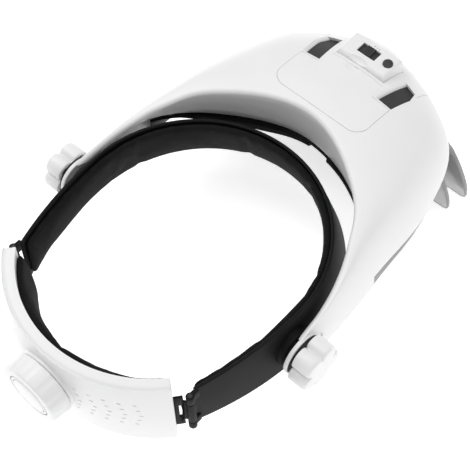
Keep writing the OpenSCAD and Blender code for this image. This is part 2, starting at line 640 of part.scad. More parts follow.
// How far the housing's top falls back from its front face, and the height that it loses there
ctrl_slope = 3.2;
ctrl_fall = 2.6;
module control_housing() color(white) difference() {
    hull() {
        upright(ctrl_box(0), 14.5, ctrl_top - ctrl_fall);
        upright(rect(ctrl_half_w, ctrl_rear, ctrl_front - ctrl_slope * 0.38), 14.5, ctrl_top - 1.6);
        upright(rect(ctrl_half_w - 1.4, ctrl_rear + 1.4, ctrl_front - ctrl_slope), 14.5, ctrl_top);
    }
    hull() {
        upright(ctrl_box(-ctrl_wall), 10, ceiling - ctrl_fall);
        upright(rect(ctrl_half_w - ctrl_wall, ctrl_rear + ctrl_wall, ctrl_front - ctrl_slope - 0.2), 10, ceiling);
    }
    translate([switch_x - switch_w / 2, ctrl_mid - switch_d / 2, ceiling - 1])
        cube([switch_w, switch_d, 5]);
    translate([button_x, ctrl_mid, 20]) cylinder(h = 20, r = button_r + 0.1);
}

slider_t = 1.2;
slider_half = switch_w / 2 + 0.7;
thumb_w = 5.4;
module slide_switch() color(grey) {
    z = ceiling - slider_t - 0.2;
    translate([switch_x - slider_half, ctrl_mid - switch_d / 2 - 0.8, z])
        cube([slider_half * 2, switch_d + 1.6, slider_t]);
    difference() {
        translate([switch_x - thumb_w / 2, ctrl_mid - switch_d / 2 + 0.3, z])
            cube([thumb_w, switch_d - 0.6, ctrl_top + 0.9 - z]);
        for (i = [-1:1]) translate([switch_x + i * 1.5 - 0.3, ctrl_mid - 5, ctrl_top + 0.4])
            cube([0.6, 10, 2]);
    }
    translate([switch_x - 1, ctrl_mid - 1, z - 2.6]) cube([2, 2, 3]);
}
module switch_body() color(grey) difference() {
    translate([switch_x - 7, ctrl_mid - 4, board_top]) cube([14, 8, ceiling - slider_t - 0.6 - board_top]);
    translate([switch_x - 1.3 - switch_travel, ctrl_mid - 1.3, ceiling - slider_t - 3.4])
        cube([2.6 + 2 * switch_travel, 2.6, 5]);
}
tact_h = 3.6;
module push_button() color(grey) translate([button_x, ctrl_mid, 0]) {
    foot = board_top + tact_h + button_travel + 0.1;
    translate([0, 0, foot]) cylinder(h = ctrl_top + 0.9 - foot, r = button_r);
    translate([0, 0, ceiling - 1.4]) cylinder(h = 1.2, r = button_r + 0.4);
}
module tact_switch() color(grey) translate([button_x, ctrl_mid, board_top]) {
    translate([-3, -3, 0]) cube([6, 6, tact_h - 0.8]);
    cylinder(h = tact_h, r = 1.6);
}
module circuit_board() color("darkgreen") {
    translate([-15.8, ctrl_mid - 8, board_top - 1.6]) cube([31.6, 16, 1.6]);
}

// Lens plates: a straight foot, round sides and a narrower head
lens_head = 9;
function lens_side(half_w, t) = half_w * (1 - 0.27 * pow(t, 1.7)) - 30 * pow(max(0, t - 0.86), 1.2);
function lens_outline(half_w) = let (h = lens_foot - lens_head)
    concat([[-half_w + 3, 0], [half_w - 3, 0]],
        [for (i = [0:7]) [lens_side(half_w, i / 7), 1.5 + i / 7 * (h - 1.5)]],
        [for (i = [7:-1:0]) [-lens_side(half_w, i / 7), 1.5 + i / 7 * (h - 1.5)]]);
lens_pin_z = -5.5;
module lens_plate(y, half_w) translate([0, -y, -lens_foot]) rotate([90, 0, 0])
    linear_extrude(lens_t, center = true) polygon(lens_outline(half_w));
module main_lens() color(clear) lens_plate(main_lens_y, main_lens_half_w);
module front_lens() color(clear) lens_plate(front_lens_y, front_lens_half_w);
clip_half = 15;
ear_t = 3;
// A clip grips the plate's head and turns on the bracket's pin
module lens_clip(y) difference() {
    union() {
        translate([-clip_half, -y - lens_t / 2 - 1.4, -lens_head - 6])
            cube([2 * clip_half, lens_t + 2.8, 8]);
        translate([-clip_half, -y - 1.5, -lens_head - 1])
            cube([2 * clip_half, 3, lens_pin_z + lens_head + 1]);
        along_x(-clip_half, -y, lens_pin_z, 2 * clip_half, 2.6);
    }
    translate([-60, -y - lens_t / 2 - slack, -lens_head - 20]) cube([120, lens_t + 2 * slack, 20 + slack]);
    along_x(-clip_half - 1, -y, lens_pin_z, 2 * clip_half + 2, lens_pin_r + slack);
}
module main_lens_clip() color(black) lens_clip(main_lens_y);
module front_lens_clip() color(black) lens_clip(front_lens_y);
ear_x = clip_half + 0.4 + ear_t;
module lens_bracket() color(black) difference() {
    union() {
        for (v = [-1, 1]) translate([v * (ear_x - ear_t / 2), 0, 0]) rotate([90, 0, 90])
            linear_extrude(ear_t, center = true) polygon([[-front_lens_y - 2.5, lens_pin_z - 2.2],
                [-main_lens_y + 2.5, lens_pin_z - 2.2],
                [-main_lens_y + 2.5, liner_under(ear_x, -main_lens_y + 3) - 0.3],
                [-front_lens_y - 2.5, liner_under(ear_x, -front_lens_y - 3) - 0.3]]);
        web_front = liner_under(ear_x, -front_lens_y + 4);
        web_rear = liner_under(ear_x, -front_lens_y + 10);
        translate([-clip_half - 1, -front_lens_y + 4, 0]) rotate([90, 0, 90])
            linear_extrude(2 * clip_half + 2) polygon([[0, web_front - 2.6], [6, web_rear - 2.6],
                [6, web_rear - 0.3], [0, web_front - 0.3]]);
    }
    for (y = [main_lens_y, front_lens_y]) along_x(-30, -y, lens_pin_z, 60, lens_pin_r + slack);
}
module lens_pins() color(steel) for (y = [main_lens_y, front_lens_y])
    along_x(-clip_half - ear_t - 0.8, -y, lens_pin_z, 2 * (clip_half + ear_t + 0.8), lens_pin_r);

// Lamp under the front edge, ahead of the front plate
lamp_y = 177;
lamp_z = 3.2;
lamp_h = 8;
lamp_d = 10;
lamp_ear_top = liner_under(lamp_half_w + 3, -lamp_y + 2.6) - 0.5;
module lamp_bracket() color(white) difference() {
    for (v = [-1, 1]) translate([v * (lamp_half_w + 1.8), 0, 0]) rotate([90, 0, 90])
        linear_extrude(2.4, center = true)
        polygon([[-lamp_y - 2.6, lamp_z - 2.6], [-lamp_y + 2.6, lamp_z - 2.6],
            [-lamp_y + 2.6, lamp_ear_top], [-lamp_y - 2.6, lamp_ear_top]]);
    along_x(-30, -lamp_y, lamp_z, 60, lamp_pin_r + slack);
}
module lamp_pins() color(steel) both_sides()
    along_x(lamp_half_w - 2, -lamp_y, lamp_z, 5.6, lamp_pin_r);
lamp_cells = [-11, 0, 11];
module lamp_housing() color(white) difference() {
    translate([-lamp_half_w, -lamp_y - lamp_d / 2, lamp_z - lamp_h / 2])
        cube([2 * lamp_half_w, lamp_d, lamp_h]);
    for (x = lamp_cells) translate([x, -lamp_y, lamp_z - lamp_h / 2 - 1])
        cylinder(h = lamp_h - 0.5, r = 4.2);
    translate([-lamp_half_w + 1.2, -lamp_y - lamp_d / 2 + 1, lamp_z - lamp_h / 2 - 1])
        cube([2 * lamp_half_w - 2.4, lamp_d - 2, 2.2]);
    along_x(lamp_half_w - 2.2, -lamp_y, lamp_z, 5, lamp_pin_r + slack);
    along_x(-lamp_half_w - 2.8, -lamp_y, lamp_z, 5, lamp_pin_r + slack);
}
lamp_floor = lamp_z - lamp_h / 2 + 1.3;
module lamp_reflector() color(steel) for (x = lamp_cells) translate([x, -lamp_y, lamp_floor]) difference() {
    cylinder(h = 4.4, r = 4.1);
    translate([0, 0, -0.01]) cylinder(h = 4.5, r1 = 3.7, r2 = 1.5);
}
module lamp_leds() color("gold") for (x = lamp_cells)
    translate([x, -lamp_y, lamp_floor + 2.6]) cylinder(h = 2.6, r = 1.2);
module lamp_lens() color(clear)
    translate([-lamp_half_w + 1.3, -lamp_y - lamp_d / 2 + 1.1, lamp_z - lamp_h / 2])
    cube([2 * lamp_half_w - 2.6, lamp_d - 2.2, 1.1]);

front_band();
forehead_pad();
pivot_bolts();
friction_washers();
hinge_pins();
strap_left();
strap_right();
rear_shell();
rear_cover();
rear_pad();
cover_screws();
rack_left();
rack_right();
size_knob();
size_knob_cap();
pinion();
ratchet_spring();
star_knob_left();
star_knob_right();
star_nut_left();
star_nut_right();
visor_shell();
pivot_bushes();
side_windows();
visor_liner();
liner_screws();
battery_lid();
battery_tray();
batteries();
battery_contacts();
vent_ducts();
control_housing();
slide_switch();
switch_body();
push_button();
tact_switch();
circuit_board();
lens_bracket();
lens_pins();
main_lens();
front_lens();
main_lens_clip();
front_lens_clip();
lamp_bracket();
lamp_pins();
lamp_housing();
lamp_reflector();
lamp_leds();
lamp_lens();
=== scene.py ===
import bpy
import json
import math
from mathutils import Matrix, Vector

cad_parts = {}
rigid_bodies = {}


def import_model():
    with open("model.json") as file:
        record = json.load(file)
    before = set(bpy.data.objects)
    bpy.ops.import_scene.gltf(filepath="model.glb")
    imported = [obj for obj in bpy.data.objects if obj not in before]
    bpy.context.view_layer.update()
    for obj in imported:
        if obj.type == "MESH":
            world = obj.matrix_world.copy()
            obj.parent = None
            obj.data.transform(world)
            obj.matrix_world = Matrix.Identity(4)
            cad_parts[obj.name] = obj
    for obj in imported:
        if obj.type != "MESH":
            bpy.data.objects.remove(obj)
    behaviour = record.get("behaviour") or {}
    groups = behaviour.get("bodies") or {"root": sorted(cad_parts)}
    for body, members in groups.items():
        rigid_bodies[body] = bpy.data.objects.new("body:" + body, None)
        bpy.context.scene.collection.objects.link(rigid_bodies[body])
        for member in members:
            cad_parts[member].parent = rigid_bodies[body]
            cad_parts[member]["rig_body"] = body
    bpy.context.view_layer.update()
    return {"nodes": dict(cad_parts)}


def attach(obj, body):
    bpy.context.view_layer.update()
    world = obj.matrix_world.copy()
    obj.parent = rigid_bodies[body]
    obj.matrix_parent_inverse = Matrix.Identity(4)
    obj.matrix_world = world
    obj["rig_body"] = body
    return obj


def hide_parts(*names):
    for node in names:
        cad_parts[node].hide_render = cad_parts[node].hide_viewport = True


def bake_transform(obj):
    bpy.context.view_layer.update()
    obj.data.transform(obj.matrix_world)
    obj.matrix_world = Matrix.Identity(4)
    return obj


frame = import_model()
nodes = frame["nodes"]
mm = 0.001  # lengths below are in millimetres


# Small helpers for the outliner and for edit mode
def deselectAll():
    if bpy.context.object and bpy.context.object.mode != "OBJECT":
        bpy.ops.object.mode_set(mode="OBJECT")
    bpy.ops.object.select_all(action="DESELECT")


def pick(obj):
    deselectAll()
    obj.select_set(True)
    bpy.context.view_layer.objects.active = obj
    return obj


def editAll(obj):
    pick(obj)
    bpy.ops.object.mode_set(mode="EDIT")
    bpy.ops.mesh.select_all(action="SELECT")


def settle(obj):
    # leaves the object at the origin, with its place in its mesh
    pick(obj)
    bpy.ops.object.transform_apply(location=True, rotation=True, scale=True)
    return obj


def addModifier(obj, kind, **settings):
    pick(obj)
    modifier = obj.modifiers.new(kind.lower(), kind)
    for key, value in settings.items():
        setattr(modifier, key, value)
    bpy.ops.object.modifier_apply(modifier=modifier.name)
    return obj


def ease(obj, width, segments=2, angle=30):
    # bevels the edges sharper than angle
    return addModifier(obj, "BEVEL", width=width * mm, segments=segments, limit_method="ANGLE",
                       angle_limit=math.radians(angle))


def mergeAndTurnOut(obj, distance=0.01):
    editAll(obj)
    bpy.ops.mesh.remove_doubles(threshold=distance * mm)
    bpy.ops.mesh.normals_make_consistent(inside=False)
    bpy.ops.object.mode_set(mode="OBJECT")
    return obj


def meshFrom(name, points, faces):
    mesh = bpy.data.meshes.new(name)
    mesh.from_pydata([[c * mm for c in p] for p in points], [], faces)
    obj = bpy.data.objects.new(name, mesh)
    bpy.context.scene.collection.objects.link(obj)
    return obj


def sweptSkin(name, rings):
    # rings of points, all with the same count, joined in order and closed at both ends
    count = len(rings[0])
    faces = []
    for i in range(len(rings) - 1):
        for j in range(count):
            k = (j + 1) % count
            faces.append([i * count + j, (i + 1) * count + j, (i + 1) * count + k, i * count + k])
    faces.append(list(range(count)))
    faces.append([(len(rings) - 1) * count + j for j in reversed(range(count))])
    return mergeAndTurnOut(meshFrom(name, [p for ring in rings for p in ring], faces))


def prism(name, outline, low, high):
    # an outline in XY, extruded from low to high
    obj = meshFrom(name, [(x, y, low) for x, y in outline], [list(range(len(outline)))])
    editAll(obj)
    bpy.ops.mesh.extrude_region_move(TRANSFORM_OT_translate={"value": (0, 0, (high - low) * mm)})
    bpy.ops.object.mode_set(mode="OBJECT")
    return mergeAndTurnOut(obj)


def box(name, low, high):
    deselectAll()
    bpy.ops.mesh.primitive_cube_add(size=1, location=[(a + b) / 2 * mm for a, b in zip(low, high)])
    obj = bpy.context.object
    obj.name = name
    obj.scale = [(b - a) * mm for a, b in zip(low, high)]
    return settle(obj)


def disc(name, centre, radius, depth, axis="z", sides=96):
    # a solid disc whose middle is at centre
    turn = {"z": (0, 0, 0), "x": (0, math.pi / 2, 0), "y": (math.pi / 2, 0, 0)}[axis]
    deselectAll()
    bpy.ops.mesh.primitive_cylinder_add(vertices=sides, radius=radius * mm, depth=depth * mm,
                                        location=[c * mm for c in centre], rotation=turn)
    obj = bpy.context.object
    obj.name = name
    return settle(obj)


def joined(name, parts):
    deselectAll()
    for part in parts:
        part.select_set(True)
    bpy.context.view_layer.objects.active = parts[0]
    if len(parts) > 1:
        bpy.ops.object.join()
    parts[0].name = name
    return parts[0]


def combine(obj, tools, operation="DIFFERENCE"):
    for tool in tools:
        addModifier(obj, "BOOLEAN", object=tool, operation=operation, solver="EXACT")
        bpy.data.objects.remove(tool)
    return obj


def finishPiece(obj, material, body, replaced=(), smoothAngle=35):
    pick(obj)
    bpy.ops.object.shade_smooth_by_angle(angle=math.radians(smoothAngle))
    obj.data.materials.clear()
    obj.data.materials.append(material)
    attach(obj, body)
    if replaced:
        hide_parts(*replaced)
    return obj


# Materials. Colours are sRGB hex values
def linearColour(text, alpha=1.0):
    values = [int(text[i:i + 2], 16) / 255 for i in (1, 3, 5)]
    return [v / 12.92 if v <= 0.04045 else ((v + 0.055) / 1.055) ** 2.4 for v in values] + [alpha]


def addNode(tree, kind, settings=None, links=None):
    # one node with its settings and inputs; a link is (node, output name)
    node = tree.nodes.new("ShaderNode" + kind)
    for key, value in (settings or {}).items():
        if key in node.inputs:
            node.inputs[key].default_value = value
        else:
            setattr(node, key, value)
    for key, (source, output) in (links or {}).items():
        tree.links.new(source.outputs[output], node.inputs[key])
    return node


def startMaterial(name, shader):
    material = bpy.data.materials.new(name)
    material.use_nodes = True
    tree = material.node_tree
    tree.nodes.clear()
    surface = addNode(tree, "BsdfPrincipled", shader)
    addNode(tree, "OutputMaterial", links={"Surface": (surface, "BSDF")})
    return material, tree, surface, addNode(tree, "TexCoord")


def plasticMaterial(name, low, high, roughness, grainMm, grainDepthMm, tintMm=30, specular=0.5):
    # moulded plastic: a soft drift of tone over the part, and a fine spark-eroded grain in the mould
    material, tree, surface, place = startMaterial(name, {
        "Roughness": roughness, "IOR": 1.53, "Specular IOR Level": specular})
    drift = addNode(tree, "TexNoise", {"Scale": 1 / (tintMm * mm), "Detail": 2.0, "Roughness": 0.5},
                    {"Vector": (place, "Object")})
    tone = addNode(tree, "Mix", {"data_type": "RGBA"}, {"Factor": (drift, "Fac")})
    tone.inputs[6].default_value = linearColour(low)
    tone.inputs[7].default_value = linearColour(high)
    tree.links.new(tone.outputs[2], surface.inputs["Base Color"])
    grain = addNode(tree, "TexNoise", {"Scale": 1 / (grainMm * mm), "Detail": 3.0, "Roughness": 0.6},
                    {"Vector": (place, "Object")})
    bump = addNode(tree, "Bump", {"Strength": 0.6, "Distance": grainDepthMm * mm}, {"Height": (grain, "Fac")})
    tree.links.new(bump.outputs["Normal"], surface.inputs["Normal"])
    gloss = addNode(tree, "MapRange", {"To Min": roughness - 0.05, "To Max": roughness + 0.06},
                    {"Value": (drift, "Fac")})
    tree.links.new(gloss.outputs["Result"], surface.inputs["Roughness"])
    return material


def fabricMaterial(name, low, high, threadMm, patchMm=14):
    # brushed knit over foam: ribs of loops, a soft nap, and hardly any gloss
    material, tree, surface, place = startMaterial(name, {
        "Roughness": 0.92, "IOR": 1.45, "Sheen Weight": 0.12, "Sheen Roughness": 0.45,
        "Sheen Tint": linearColour("#8c8c90"), "Specular IOR Level": 0.2})
    knit = addNode(tree, "TexVoronoi", {"Scale": 1 / (threadMm * mm), "Randomness": 0.55},
                   {"Vector": (place, "Object")})
    nap = addNode(tree, "TexNoise", {"Scale": 1 / (0.35 * threadMm * mm), "Detail": 4.0},
                  {"Vector": (place, "Object")})
    patches = addNode(tree, "TexNoise", {"Scale": 1 / (patchMm * mm), "Detail": 3.0},
                      {"Vector": (place, "Object")})
    height = addNode(tree, "Math", {"operation": "ADD"})
    tree.links.new(knit.outputs["Distance"], height.inputs[0])
    tree.links.new(nap.outputs["Fac"], height.inputs[1])
    bump = addNode(tree, "Bump", {"Strength": 0.7, "Distance": 0.25 * mm}, {"Height": (height, "Value")})
    tree.links.new(bump.outputs["Normal"], surface.inputs["Normal"])
    mixed = addNode(tree, "Math", {"operation": "MULTIPLY"})
    tree.links.new(knit.outputs["Distance"], mixed.inputs[0])
    tree.links.new(patches.outputs["Fac"], mixed.inputs[1])
    tone = addNode(tree, "Mix", {"data_type": "RGBA"}, {"Factor": (mixed, "Value")})
    tone.inputs[6].default_value = linearColour(low)
    tone.inputs[7].default_value = linearColour(high)
    tree.links.new(tone.outputs[2], surface.inputs["Base Color"])
    return material


def metalMaterial(name, colour, roughness, scratchMm):
    # plated steel: fine turned or drawn lines that spread the highlight
    material, tree, surface, place = startMaterial(name, {
        "Base Color": linearColour(colour), "Metallic": 1.0, "Roughness": roughness})
    stretch = addNode(tree, "Mapping", {"Scale": (1, 1, 0.08)}, {"Vector": (place, "Object")})
    lines = addNode(tree, "TexNoise", {"Scale": 1 / (scratchMm * mm), "Detail": 2.0},
                    {"Vector": (stretch, "Vector")})
    gloss = addNode(tree, "MapRange", {"To Min": roughness - 0.08, "To Max": roughness + 0.12},
                    {"Value": (lines, "Fac")})
    tree.links.new(gloss.outputs["Result"], surface.inputs["Roughness"])
    bump = addNode(tree, "Bump", {"Strength": 0.25, "Distance": 0.02 * mm}, {"Height": (lines, "Fac")})
    tree.links.new(bump.outputs["Normal"], surface.inputs["Normal"])
    return material


def acrylicMaterial(name, colour, transmission, roughness, wearMm=9):
    # clear acrylic: glossy, faintly tinted, with a little wear that dulls it in patches
    material, tree, surface, place = startMaterial(name, {
        "Base Color": linearColour(colour), "Roughness": roughness, "IOR": 1.49,
        "Transmission Weight": transmission})
    wear = addNode(tree, "TexNoise", {"Scale": 1 / (wearMm * mm), "Detail": 4.0},
                   {"Vector": (place, "Object")})
    gloss = addNode(tree, "MapRange", {"To Min": roughness * 0.6, "To Max": roughness * 1.6},
                    {"Value": (wear, "Fac")})
    tree.links.new(gloss.outputs["Result"], surface.inputs["Roughness"])
    return material


whiteAbs = plasticMaterial("white_moulded_abs", "#eaeaea", "#efefef", 0.38, 0.5, 0.012)
blackNylon = plasticMaterial("black_moulded_nylon", "#0c0c0c", "#111111", 0.62, 0.6, 0.02, specular=0.16)
greyAbs = plasticMaterial("dark_grey_textured_abs", "#2b2b2b", "#343434", 0.5, 0.35, 0.03)
washerRubber = plasticMaterial("black_rubber", "#121212", "#191919", 0.75, 0.4, 0.03)
padFabric = fabricMaterial("black_brushed_knit", "#0f0f0f", "#262626", 0.9)
zincSteel = metalMaterial("zinc_plated_steel", "#c4c6ca", 0.3, 0.4)
blackenedSteel = metalMaterial("blackened_steel", "#3a3a3c", 0.45, 0.4)
mirrorCoat = metalMaterial("metallised_reflector", "#e4e4e6", 0.12, 0.8)
smokedAcrylic = acrylicMaterial("smoked_acrylic", "#777777", 0.35, 0.12)
lensAcrylic = acrylicMaterial("polished_acrylic", "#cccccc", 0.6, 0.06)
batterySleeve = plasticMaterial("battery_sleeve_film", "#4c4f52", "#5a5d60", 0.3, 0.8, 0.01)
solderMask = plasticMaterial("green_solder_mask", "#0f4a22", "#17602f", 0.35, 0.9, 0.01)
phosphor = plasticMaterial("yellow_phosphor_resin", "#e3c65a", "#efd67a", 0.25, 0.5, 0.01)
print("materials ready")


# Camera at the photograph's angle, floor and soft studio light
view = {"turn": 44.15, "rise": 58.04, "roll": -2.02, "place": (-274.05, 241.43, 605.67), "lens": 97.39,
        "sensor": 36}


def setCamera():
    turn, rise, roll = (math.radians(view[k]) for k in ("turn", "rise", "roll"))
    back = Vector((-math.cos(rise) * math.sin(turn), math.cos(rise) * math.cos(turn), math.sin(rise)))
    right = Vector((-math.cos(turn), -math.sin(turn), 0))
    up = right.cross(-back)
    tilted = (math.cos(roll) * right + math.sin(roll) * up,
              -math.sin(roll) * right + math.cos(roll) * up, back)
    data = bpy.data.cameras.new("camera")
    data.lens = view["lens"]
    data.sensor_width = view["sensor"]
    data.clip_start = 0.01
    camera = bpy.data.objects.new("camera", data)
    bpy.context.scene.collection.objects.link(camera)
    camera.matrix_world = (Matrix.Translation([c * mm for c in view["place"]])
                           @ Matrix(tilted).transposed().to_4x4())
    bpy.context.scene.camera = camera


# each lamp: name, place in mm, size in m, power in W
studio = {"floorDrop": 51.0, "floorSize": 6, "floorTone": "#f4f4f4", "floorGlow": 0.66, "worldTone": "#ffffff",
          "worldStrength": 0.46, "aim": (0, -30, 0),
          "lamps": [("overhead_softbox", (0, -30, 1500), 1.6, 7.4), ("key_softbox", (750, 60, 1000), 0.7, 4.8),
                    ("fill_softbox", (-700, -600, 700), 1.0, 1.7)]}


def setStudio():
    deselectAll()
    bpy.ops.mesh.primitive_plane_add(size=studio["floorSize"], location=(0, 0, -studio["floorDrop"] * mm))
    floor = bpy.context.object
    floor.name = "floor"
    paleFloor = startMaterial("pale_floor", {
        "Base Color": linearColour(studio["floorTone"]), "Roughness": 0.9,
        "Emission Color": linearColour(studio["worldTone"]), "Emission Strength": studio["floorGlow"]})[0]
    floor.data.materials.append(paleFloor)
    settle(floor)
    world = bpy.data.worlds.new("studio")
    bpy.context.scene.world = world
    world.use_nodes = True
    background = world.node_tree.nodes["Background"]
    background.inputs["Color"].default_value = linearColour(studio["worldTone"])
    background.inputs["Strength"].default_value = studio["worldStrength"]
    bpy.context.scene.view_settings.view_transform = "Standard"
    aim = Vector([c * mm for c in studio["aim"]])
    for name, place, size, power in studio["lamps"]:
        data = bpy.data.lights.new(name, "AREA")
        data.energy = power
        data.size = size
        lamp = bpy.data.objects.new(name, data)
        bpy.context.scene.collection.objects.link(lamp)
        lamp.location = [c * mm for c in place]
        lamp.rotation_euler = (aim - lamp.location).to_track_quat("-Z", "Y").to_euler()


setCamera()
setStudio()
print("camera and studio ready")


# Head band: the same stations as the solid, closer together
band = {"radius": 76.5, "centre": 9, "sideRadius": 230, "sideTurn": 17.5, "height": 36, "wall": 2, "edge": 0.9,
        "sideLean": 5.6, "frontLean": 12, "hingeUpright": 0.9, "padGap": 0.3, "padThick": 7, "padHeight": 33,
        "sideSteps": 14, "frontSteps": 96}


def sideStation(angle):
    a = math.radians(angle)
    x = band["radius"] - band["sideRadius"] + band["sideRadius"] * math.cos(a)
    fade = 1 - band["hingeUpright"] * (angle / band["sideTurn"]) ** 1.5
    return (x, band["sideRadius"] * math.sin(a) - band["centre"]), (math.cos(a), math.sin(a)), 0, fade


def frontStation(angle):
    a = math.radians(angle)
    place = (band["radius"] * math.cos(a), band["radius"] * math.sin(a) - band["centre"])
    return place, (math.cos(a), math.sin(a)), math.sin(a) ** 2, 1


def flipped(station):
    (x, y), (u, v), front, side = station
    return (-x, y), (-u, v), front, side


def bandStations(start, sideSteps, frontSteps):
    # each station: place and outward direction in XY, its share of the front's lean and of the side's
    left = [sideStation(start * (1 - i / sideSteps)) for i in range(sideSteps)]
    front = [frontStation(-180 * i / frontSteps) for i in range(frontSteps + 1)]
    return left + front + [flipped(s) for s in reversed(left)]


def bandPoint(station, off, z):
    (x, y), (u, v), front, side = station
    lean = band["sideLean"] * side + (band["frontLean"] - band["sideLean"]) * front
    reach = off + lean * (band["height"] / 2 - z) / band["height"]
    return x + u * reach, y + v * reach, z


def roundedRect(low, high, radius, steps=4):
    # corner points of a rounded rectangle, from its low corner to its high one
    points = []
    for cx, cy, start in ((high[0] - radius, high[1] - radius, 0), (low[0] + radius, high[1] - radius, 90),
                          (low[0] + radius, low[1] + radius, 180), (high[0] - radius, low[1] + radius, 270)):
        for i in range(steps + 1):
            a = math.radians(start + 90 * i / steps)
            points.append((cx + radius * math.cos(a), cy + radius * math.sin(a)))
    return points


bandEnd = sideStation(band["sideTurn"])[0]
hinge = {"x": bandEnd[0] + 0.6, "y": bandEnd[1] + 4.2, "pin": 1.35, "knuckle": 2.35, "length": 7, "lug": 2.8,
         "lugIn": 1.6, "lugFar": 5.7, "ease": 0.4}
pivot = {"drop": 3, "bossFace": 82.1, "bossLength": 5, "bossRadius": 12, "bore": 3.05, "headRoom": 6.2}


def onPivot(name, x, radius, depth, sides=128):
    # a disc on the visor's pivot line
    return disc(name, (x, 0, -pivot["drop"]), radius, depth, "x", sides)


def makeBand():
    half = band["height"] / 2
    profile = roundedRect((-band["wall"], -half), (0, half), band["edge"])
    rings = [[bandPoint(s, off, z) for off, z in profile]
             for s in bandStations(band["sideTurn"], band["sideSteps"], band["frontSteps"])]
    piece = sweptSkin("head_band", rings)
    extras = []
    for side in (1, -1):
        boss = onPivot("boss", side * (pivot["bossFace"] - pivot["bossLength"] / 2),
                       pivot["bossRadius"], pivot["bossLength"], 72)
        ease(boss, 0.5)
        extras.append(boss)
        for low in (half - hinge["length"], -half):
            knuckle = disc("knuckle", (side * hinge["x"], hinge["y"], low + hinge["length"] / 2),
                           hinge["knuckle"], hinge["length"], "z", 40)
            ease(knuckle, hinge["ease"])
            root = hinge["x"] - hinge["lugIn"]
            left, right = sorted((side * root, side * (root + hinge["lug"])))
            lug = box("lug", (left, hinge["y"] - hinge["lugFar"], low + 0.2),
                      (right, hinge["y"] - 0.2, low + hinge["length"] - 0.2))
            ease(lug, hinge["ease"])
            extras += [knuckle, lug]
    combine(piece, extras, "UNION")
    cuts = []
    for side in (1, -1):
        cuts.append(onPivot("boltBore", side * (pivot["bossFace"] - 5), pivot["bore"], 12, 40))
        cuts.append(onPivot("headBore", side * (pivot["bossFace"] - 10.9), pivot["headRoom"], 18, 48))
        cuts.append(disc("pinBore", (side * hinge["x"], hinge["y"], 0), hinge["pin"], 80, "z", 24))
        cuts.append(disc("linkRoom", (side * hinge["x"], hinge["y"], 0), hinge["knuckle"] + 0.4,
                         band["height"] - 2 * hinge["length"], "z", 40))
    combine(piece, cuts)
    return finishPiece(piece, blackNylon, "headband", ["front_band"])


makeBand()
print("head band ready")


# Pads: foam under knitted cover, swollen by a cloth simulation and drawn in at the sewn channels
padding = {"rows": [0.98, 0.8, 0.4, -0.1, -0.6, -0.9], "wallRows": [-0.97, -0.5, 0, 0.5, 0.97],
           "seams": [-20, -70, -110, -160], "seamWidth": 1.6, "seamFloor": 1.5, "seamPull": 0.42, "voxel": 2.4,
           "pressure": 3.5, "frames": 16, "swell": 0.9, "stiffness": 20, "quality": 5, "frontSteps": 90}


def crown(v):
    # how full the pad's section is at v, from 1 in the middle to 0.42 at its edges
    return 0.42 + 0.58 * math.sqrt(1 - v * v)


def swollen(piece, cap):
    # a cloth run that fills the pad out, with no point moving further than cap
    addModifier(piece, "REMESH", mode="VOXEL", voxel_size=padding["voxel"] * mm, use_smooth_shade=True)
    before = [v.co.copy() for v in piece.data.vertices]
    pick(piece)
    cloth = piece.modifiers.new("cloth", "CLOTH")
    cloth.settings.use_pressure = True
    cloth.settings.uniform_pressure_force = padding["pressure"]
    cloth.settings.effector_weights.gravity = 0
    cloth.settings.quality = padding["quality"]
    cloth.settings.tension_stiffness = padding["stiffness"]
    cloth.settings.compression_stiffness = padding["stiffness"]
    cloth.point_cache.frame_end = padding["frames"]
    for number in range(1, padding["frames"] + 1):
        bpy.context.scene.frame_set(number)
    bpy.ops.object.modifier_apply(modifier=cloth.name)
    bpy.context.scene.frame_set(1)
    for vertex, old in zip(piece.data.vertices, before):
        move = vertex.co - old
        if move.length > cap * mm:
            vertex.co = old + move.normalized() * cap * mm
    return piece


def seamDraw(angle):
    # 1 on a sewn channel, 0 away from it
    return max(math.exp(-((angle - seam) / padding["seamWidth"]) ** 2) for seam in padding["seams"])


def makeForeheadPad():
    reach = band["padThick"] - padding["swell"]
    back = -band["wall"] - band["padGap"] - 0.1
    half = band["padHeight"] / 2 + 0.6
    rings = []
    for station in bandStations(band["sideTurn"] - 0.3, band["sideSteps"], padding["frontSteps"]):
        # the sides are thinner than the brow
        y = station[0][1]
        thick = reach * (0.8 + 0.2 * min(1, max(0, -y / 55)))
        ring = [bandPoint(station, back, v * half) for v in padding["wallRows"]]
        ring += [bandPoint(station, back - thick * crown(v), v * half) for v in padding["rows"]]
        rings.append(ring)
    piece = sweptSkin("forehead_cushion", rings)
    swollen(piece, padding["swell"])
    # the sewn channels draw the front of the pad in
    for vertex in piece.data.vertices:
        x, y, z = (c / mm for c in vertex.co)
        if y > -band["centre"]:
            continue
        angle = math.degrees(math.atan2(y + band["centre"], x))
        radius = math.hypot(x, y + band["centre"])
        wall = bandPoint(frontStation(angle), back, z)
        wallRadius = math.hypot(wall[0], wall[1] + band["centre"])
        depth = wallRadius - radius
        if depth > padding["seamFloor"]:
            moved = radius + padding["seamPull"] * (depth - padding["seamFloor"]) * seamDraw(angle)
            vertex.co.x = moved * math.cos(math.radians(angle)) * mm
            vertex.co.y = (moved * math.sin(math.radians(angle)) - band["centre"]) * mm
    addModifier(piece, "SUBSURF", levels=1, render_levels=1)
    finishPiece(piece, padFabric, "headband", ["forehead_pad"], 180)


makeForeheadPad()

